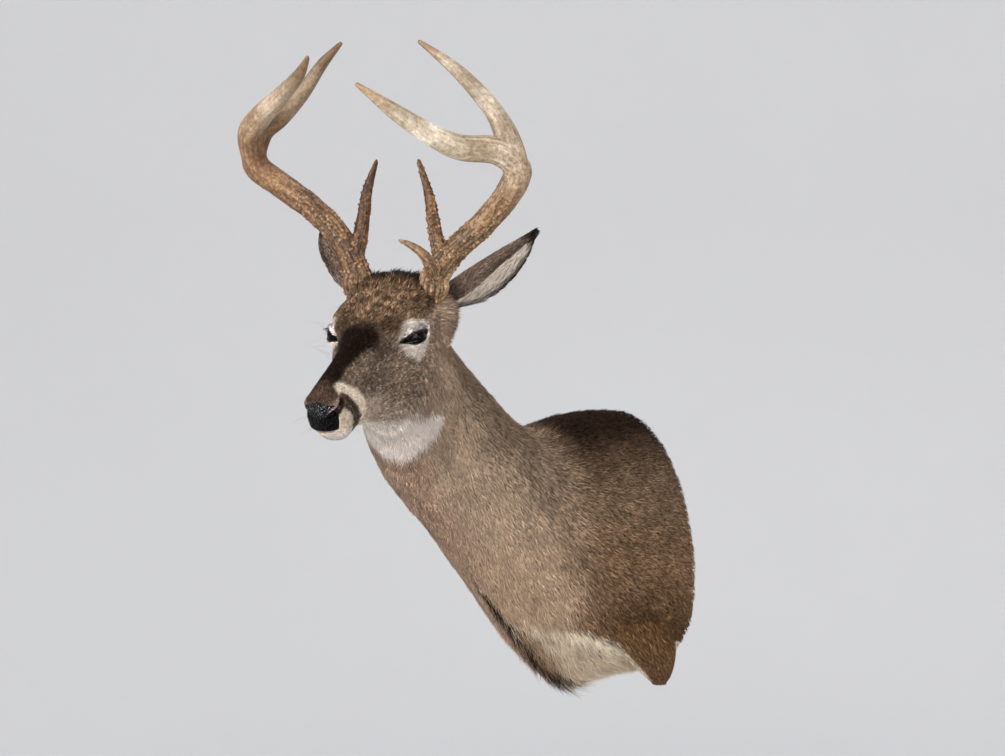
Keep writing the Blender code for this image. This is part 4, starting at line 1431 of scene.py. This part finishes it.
def antler_shape(word, finish):
    """All the tines of one side joined and rounded into one bone."""
    body, *others = [object_from(tine_tube(rows), "tine") for rows in ANTLERS[word].values()]
    joined(body, others)
    remesh = body.modifiers.new("even", "REMESH")
    remesh.mode = "VOXEL"
    remesh.voxel_size = EVEN_CELL
    smooth = body.modifiers.new("smooth", "SMOOTH")
    smooth.factor = 0.5
    smooth.iterations = 12
    mesh = applied(body)
    mesh.materials.clear()
    mesh.materials.append(finish)
    body.name = "antler_whole_" + word
    mesh.name = body.name
    return body


def bone_places(word, points):
    """For each point: how far up its antler it is, its shade, and its angle and distance on its tine."""
    rows = np.arange(len(points))
    best = np.full(len(points), 1e9)
    found = np.zeros((len(points), 6))
    for tine, line in ANTLERS[word].items():
        centre, radius, _, sides, others = tine_frame(line, 80)
        gone = np.concatenate(([0.0], np.cumsum(np.linalg.norm(np.diff(centre, axis=0), axis=1))))
        gap = np.linalg.norm(points[:, None, :] - centre[None, :, :], axis=2) - radius[None, :]
        index = gap.argmin(axis=1)
        away = points - centre[index]
        angle = np.arctan2((away * others[index]).sum(1), (away * sides[index]).sum(1))
        start, end, shade = TINES[tine]
        rise = start + (end - start) * gone[index] / gone[-1]
        shade = 1.0 + (np.array(shade) - 1.0) * soft(gone[index], 0.01, 0.06)[:, None]
        closer = gap[rows, index] < best
        best = np.where(closer, gap[rows, index], best)
        own = np.column_stack([rise, angle, gone[index], shade])
        found = np.where(closer[:, None], own, found)
    rise, angle, length = found[:, :3].T
    return rise, angle, length, found[:, 3:]


def bead(point):
    """How high a pearl stands at a point, 0 to 1."""
    near = noise.voronoi(Vector(point) * PEARLS_TO_METRE)[0][0]
    return max(0.0, 1.0 - 1.9 * near)


def antler(word, finish):
    """One antler, with a burr, pearls and long grooves, stained darker towards its foot."""
    body = antler_shape(word, finish)
    mesh = body.data
    points = vectors(mesh.vertices, "co")
    normals = vectors(mesh.vertices, "normal")
    rise, angle, length, shade = bone_places(word, points)
    rough = soft(rise, 0.75, 0.1)
    unrolled = np.stack([5.0 * np.cos(angle), 5.0 * np.sin(angle), 26.0 * length], axis=1)
    streaks = np.array([noise.fractal(Vector(spot), 0.7, 2.0, 4) for spot in unrolled])
    pearls = np.array([bead(point) for point in points]) * soft(mottle(points, 75.0), -0.28, 0.12)
    out = GROOVE_DEPTH * np.clip(streaks, -0.7, 0.7) * (0.25 + 0.75 * rough)
    out = out + PEARL_HEIGHT * pearls * rough**1.3
    mesh.vertices.foreach_set("co", (points + normals * out[:, None]).astype(np.float32).ravel())
    mesh.update()
    bone = layered(
        BONE_DARK,
        (BONE_GOLD, soft(rise, 0.02, 0.35)),
        (BONE_PALE, soft(rise, *PALE_FROM[word])),
        (BONE_TIP, soft(rise, 0.85, 1.0)),
    )
    swing = 0.22 + 0.4 * rough
    bone = bone * (1.0 - swing + 1.6 * swing * soft(streaks, -0.35, 0.35))[:, None]
    stain = np.exp(0.7 * mottle(points, 26.0) + 0.35 * mottle(points, 160.0))[:, None]
    bone = bone * stain ** np.array((0.85, 1.0, 1.2))
    bone = bone * (1.0 - 0.38 * rough * soft(pearls, 0.3, 0.0))[:, None]
    # Pearls are blended towards their pale colour: partly their own worn tone, partly a painted highlight.
    bone = blend(bone, BONE_PEARL_PALE_AND_HIGHLIGHT, 0.6 * soft(pearls, 0.25, 0.75) * rough)
    bone = bone * (np.array(SIDE_SHADE[word]) * shade)
    paint(mesh, "bone", bone)
    depth = 0.28 + 0.48 * soft(rise, 0.3, 0.8)
    paint(mesh, "groove", bone * np.stack([depth, 0.84 * depth, 0.68 * depth], axis=1))
    return body


# ---- whiskers and lashes ----

# How many, their places along, left and up, their way, how astray it goes, how far they droop, and their
# lengths and radius in metres.
WHISKERS = (
    (16, (12.5, 17.0), 2.4, (-4.6, -0.6), (0.5, 1.0, -0.35), 0.3, 0.2, (0.012, 0.03), 0.00016),
    (10, (0.5, 3.5), 5.4, (-2.6, 3.2), (0.6, 0.9, 0.5), 0.35, 0.1, (0.018, 0.045), 0.00014),
)
LASHES = 40


def hair_strand(spot, way, droop, length, radius, steps=6):
    """A single stiff hair from a head point, a thin closed taper that bends down."""
    start = head_place(spot)
    way = unit(head_place(spot + unit(way)) - start)
    share = np.linspace(0.0, 1.0, steps)
    line = start + way * length * share[:, None]
    line[:, 2] -= droop * length * share**2
    side = np.broadcast_to(unit(np.cross(way, (0.1, 0.2, 0.97))), line.shape)
    size = radius * (1.0 - 0.9 * share)
    return tube_rings(line, size, side, np.cross(way, side), np.array((0.0, 2.1, 4.2)))


def hairs_from(name, strands, finish):
    """One piece of many strands, each closed at its ends."""
    strands = np.array(strands)
    count, steps, sides, _ = strands.shape
    quads = loft_faces(steps, sides)
    last = (steps - 1) * sides
    ends = np.array([[2, 1, 0], [last, last + 1, last + 2]])
    triangles = np.concatenate([quads[:, [0, 1, 2]], quads[:, [0, 2, 3]], ends])
    faces = (np.arange(count)[:, None, None] * steps * sides + triangles).reshape(-1, 3)
    return object_from(mesh_from(name, strands.reshape(-1, 3), faces, 3), name, finish)


def lash(rng, side):
    """A random hair of the upper lid."""
    angle = rng.uniform(0.25, 2.7)
    front = np.array(1.5 * math.cos(angle) + 0.05)
    up = np.array(0.76 * math.sin(angle) ** 0.8)
    spot = eye_spot(front, up, over_ball(front, up, 0.12, 0.2), side)
    way = on_side(EYE_OUT + EYE_UP * 0.25 + EYE_FRONT * (0.5 * math.cos(angle)), side)
    way = way + 0.12 * rng.standard_normal(3)
    return hair_strand(spot, way, 0.25, rng.uniform(0.004, 0.008), 0.0002)


def whisker(rng, side, along, left, up, way, astray, droop, lengths, radius):
    spot = on_side(np.array((rng.uniform(*along), left, rng.uniform(*up))), side)
    way = on_side(np.array(way), side) + astray * rng.standard_normal(3)
    return hair_strand(spot, way, droop, rng.uniform(*lengths), radius)


def whiskers_and_lashes(finish, lash_finish):
    rng = np.random.default_rng(SEED + 90)
    lashes = []
    strands = []
    for side in (1, -1):
        lashes += [lash(rng, side) for _ in range(LASHES)]
        for count, *kind in WHISKERS:
            strands += [whisker(rng, side, *kind) for _ in range(count)]
    return hairs_from("whiskers", strands, finish), hairs_from("lashes", lashes, lash_finish)


# ---- stage, light and camera ----

FLOOR_HEIGHT = -1.35
FLOOR_RADIUS = 3.4
BACKDROP_CURVE = 2.2
BACKDROP_TOP = 4.6
AIM = Vector((0.03, -0.35, 0.2))
CAMERA_PLACE = (1.669, -1.745, 0.327)
CAMERA_WAY = (-0.7427, 0.6687, -0.0349)
LENS = 55.88


def studio_floor(finish):
    """A pale floor that curves up, far out, into a round backdrop."""
    rise = np.linspace(0.0, math.pi / 2.0, 12)
    radius = FLOOR_RADIUS + BACKDROP_CURVE * np.sin(rise)
    height = FLOOR_HEIGHT + BACKDROP_CURVE * (1.0 - np.cos(rise))
    far = FLOOR_RADIUS + BACKDROP_CURVE
    profile = [(0.02, FLOOR_HEIGHT), *zip(radius, height), (far, BACKDROP_TOP)]
    rings = np.array([[(r * math.cos(a), r * math.sin(a), z) for a in turns(96)] for r, z in profile])
    mesh = mesh_from("floor", rings.reshape(-1, 3), loft_faces(*rings.shape[:2]), 4)
    floor = object_from(mesh, "floor", finish)


def aimed(name, data, place, way):
    """A lamp or camera at a place, looking one way."""
    made = bpy.data.objects.new(name, data)
    made.location = place
    made.rotation_mode = "QUATERNION"
    made.rotation_quaternion = Vector(way).to_track_quat("-Z", "Y")
    bpy.context.scene.collection.objects.link(made)
    return made


def area_light(name, place, size, power, colour=(1.0, 1.0, 1.0)):
    """A round soft light aimed at the mount."""
    data = bpy.data.lights.new(name, "AREA")
    data.shape = "DISK"
    data.size = size
    data.energy = power
    data.color = colour
    aimed(name, data, place, AIM - Vector(place))


def light_and_camera():
    """Pale even light from all round, three soft lamps, and the camera."""
    world = bpy.data.worlds.new("studio")
    world.use_nodes = True
    background = world.node_tree.nodes["Background"].inputs
    background["Color"].default_value = (0.96, 0.97, 1.0, 1.0)
    background["Strength"].default_value = 1.12
    bpy.context.scene.world = world
    bpy.context.scene.view_settings.view_transform = "Standard"
    area_light("key", (-0.3, -2.8, 0.7), 1.3, 80.0, (1.0, 0.98, 0.95))
    area_light("fill", (2.8, -1.1, 0.6), 1.6, 78.0, (1.0, 0.99, 0.97))
    area_light("top", (0.5, -1.2, 3.2), 2.0, 24.0)
    data = bpy.data.cameras.new("camera")
    data.sensor_width = 36.0
    data.lens = LENS
    bpy.context.scene.camera = aimed("camera", data, CAMERA_PLACE, CAMERA_WAY)


# ---- putting it together ----

FLESH = ("trunk", "neck", "head", "ear_left", "ear_right", "foreleg_left", "foreleg_right")
# Pieces of the coat, each with how many tufts it may have and the places that it runs between.
COATS = (
    ("coat_muzzle", 23000, 17.6, LAST - 0.1),
    ("coat_face", 30000, 14.0, 17.9),
    ("coat_brow", 33000, 10.6, 14.2),
    ("coat_neck_upper", 33000, 8.2, 10.9),
    ("coat_neck_lower", 33000, 5.4, 8.4),
    ("coat_shoulder", 33000, 2.6, 5.6),
    ("coat_trunk", 33000, 0.0, 2.8),
)
SIDES = ((1, "left"), (-1, "right"))


def place_piece(piece, slot, *solids):
    """Fixes a piece to the mount and hides the solids that it stands for. Its slot is not used."""
    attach(piece, "root")
    if solids:
        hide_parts(*solids)


def main():
    coat = coat_material()
    bone = antler_material()
    glass = glass_material()
    lid = lid_material()
    place_piece(build_skin(skin_material(), nose_material()), "coat", *FLESH)

    for index, (name, count, first, last) in enumerate(COATS):
        body_coat(name, SEED + index, count, first, last, coat)
    for side, word in SIDES:
        ear_coat("coat_ear_" + word, SEED + 20 + side, side, coat, 5000, 3000)
        ear_root_coat("coat_ear_root_" + word, SEED + 40 + side, side, coat, 4200)
        leg_coat("coat_leg_" + word, SEED + 30 + side, side, coat, 5500)
    for side, word in SIDES:
        place_piece(eye_ball("eye_ball_" + word, side, glass), "eye", "eye_" + word)
        place_piece(eyelid("eyelid_" + word, side, lid), "coat")
        solids = ["antler_" + word + "_" + tine for tine in ANTLERS[word]]
        place_piece(antler(word, bone), "antler", *solids)
    for hairs in whiskers_and_lashes(whisker_material(), lid):
        place_piece(hairs, "coat")

    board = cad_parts["backboard"]
    board.data.materials.clear()
    board.data.materials.append(plywood_material())
    studio_floor(floor_material())
    light_and_camera()


main()
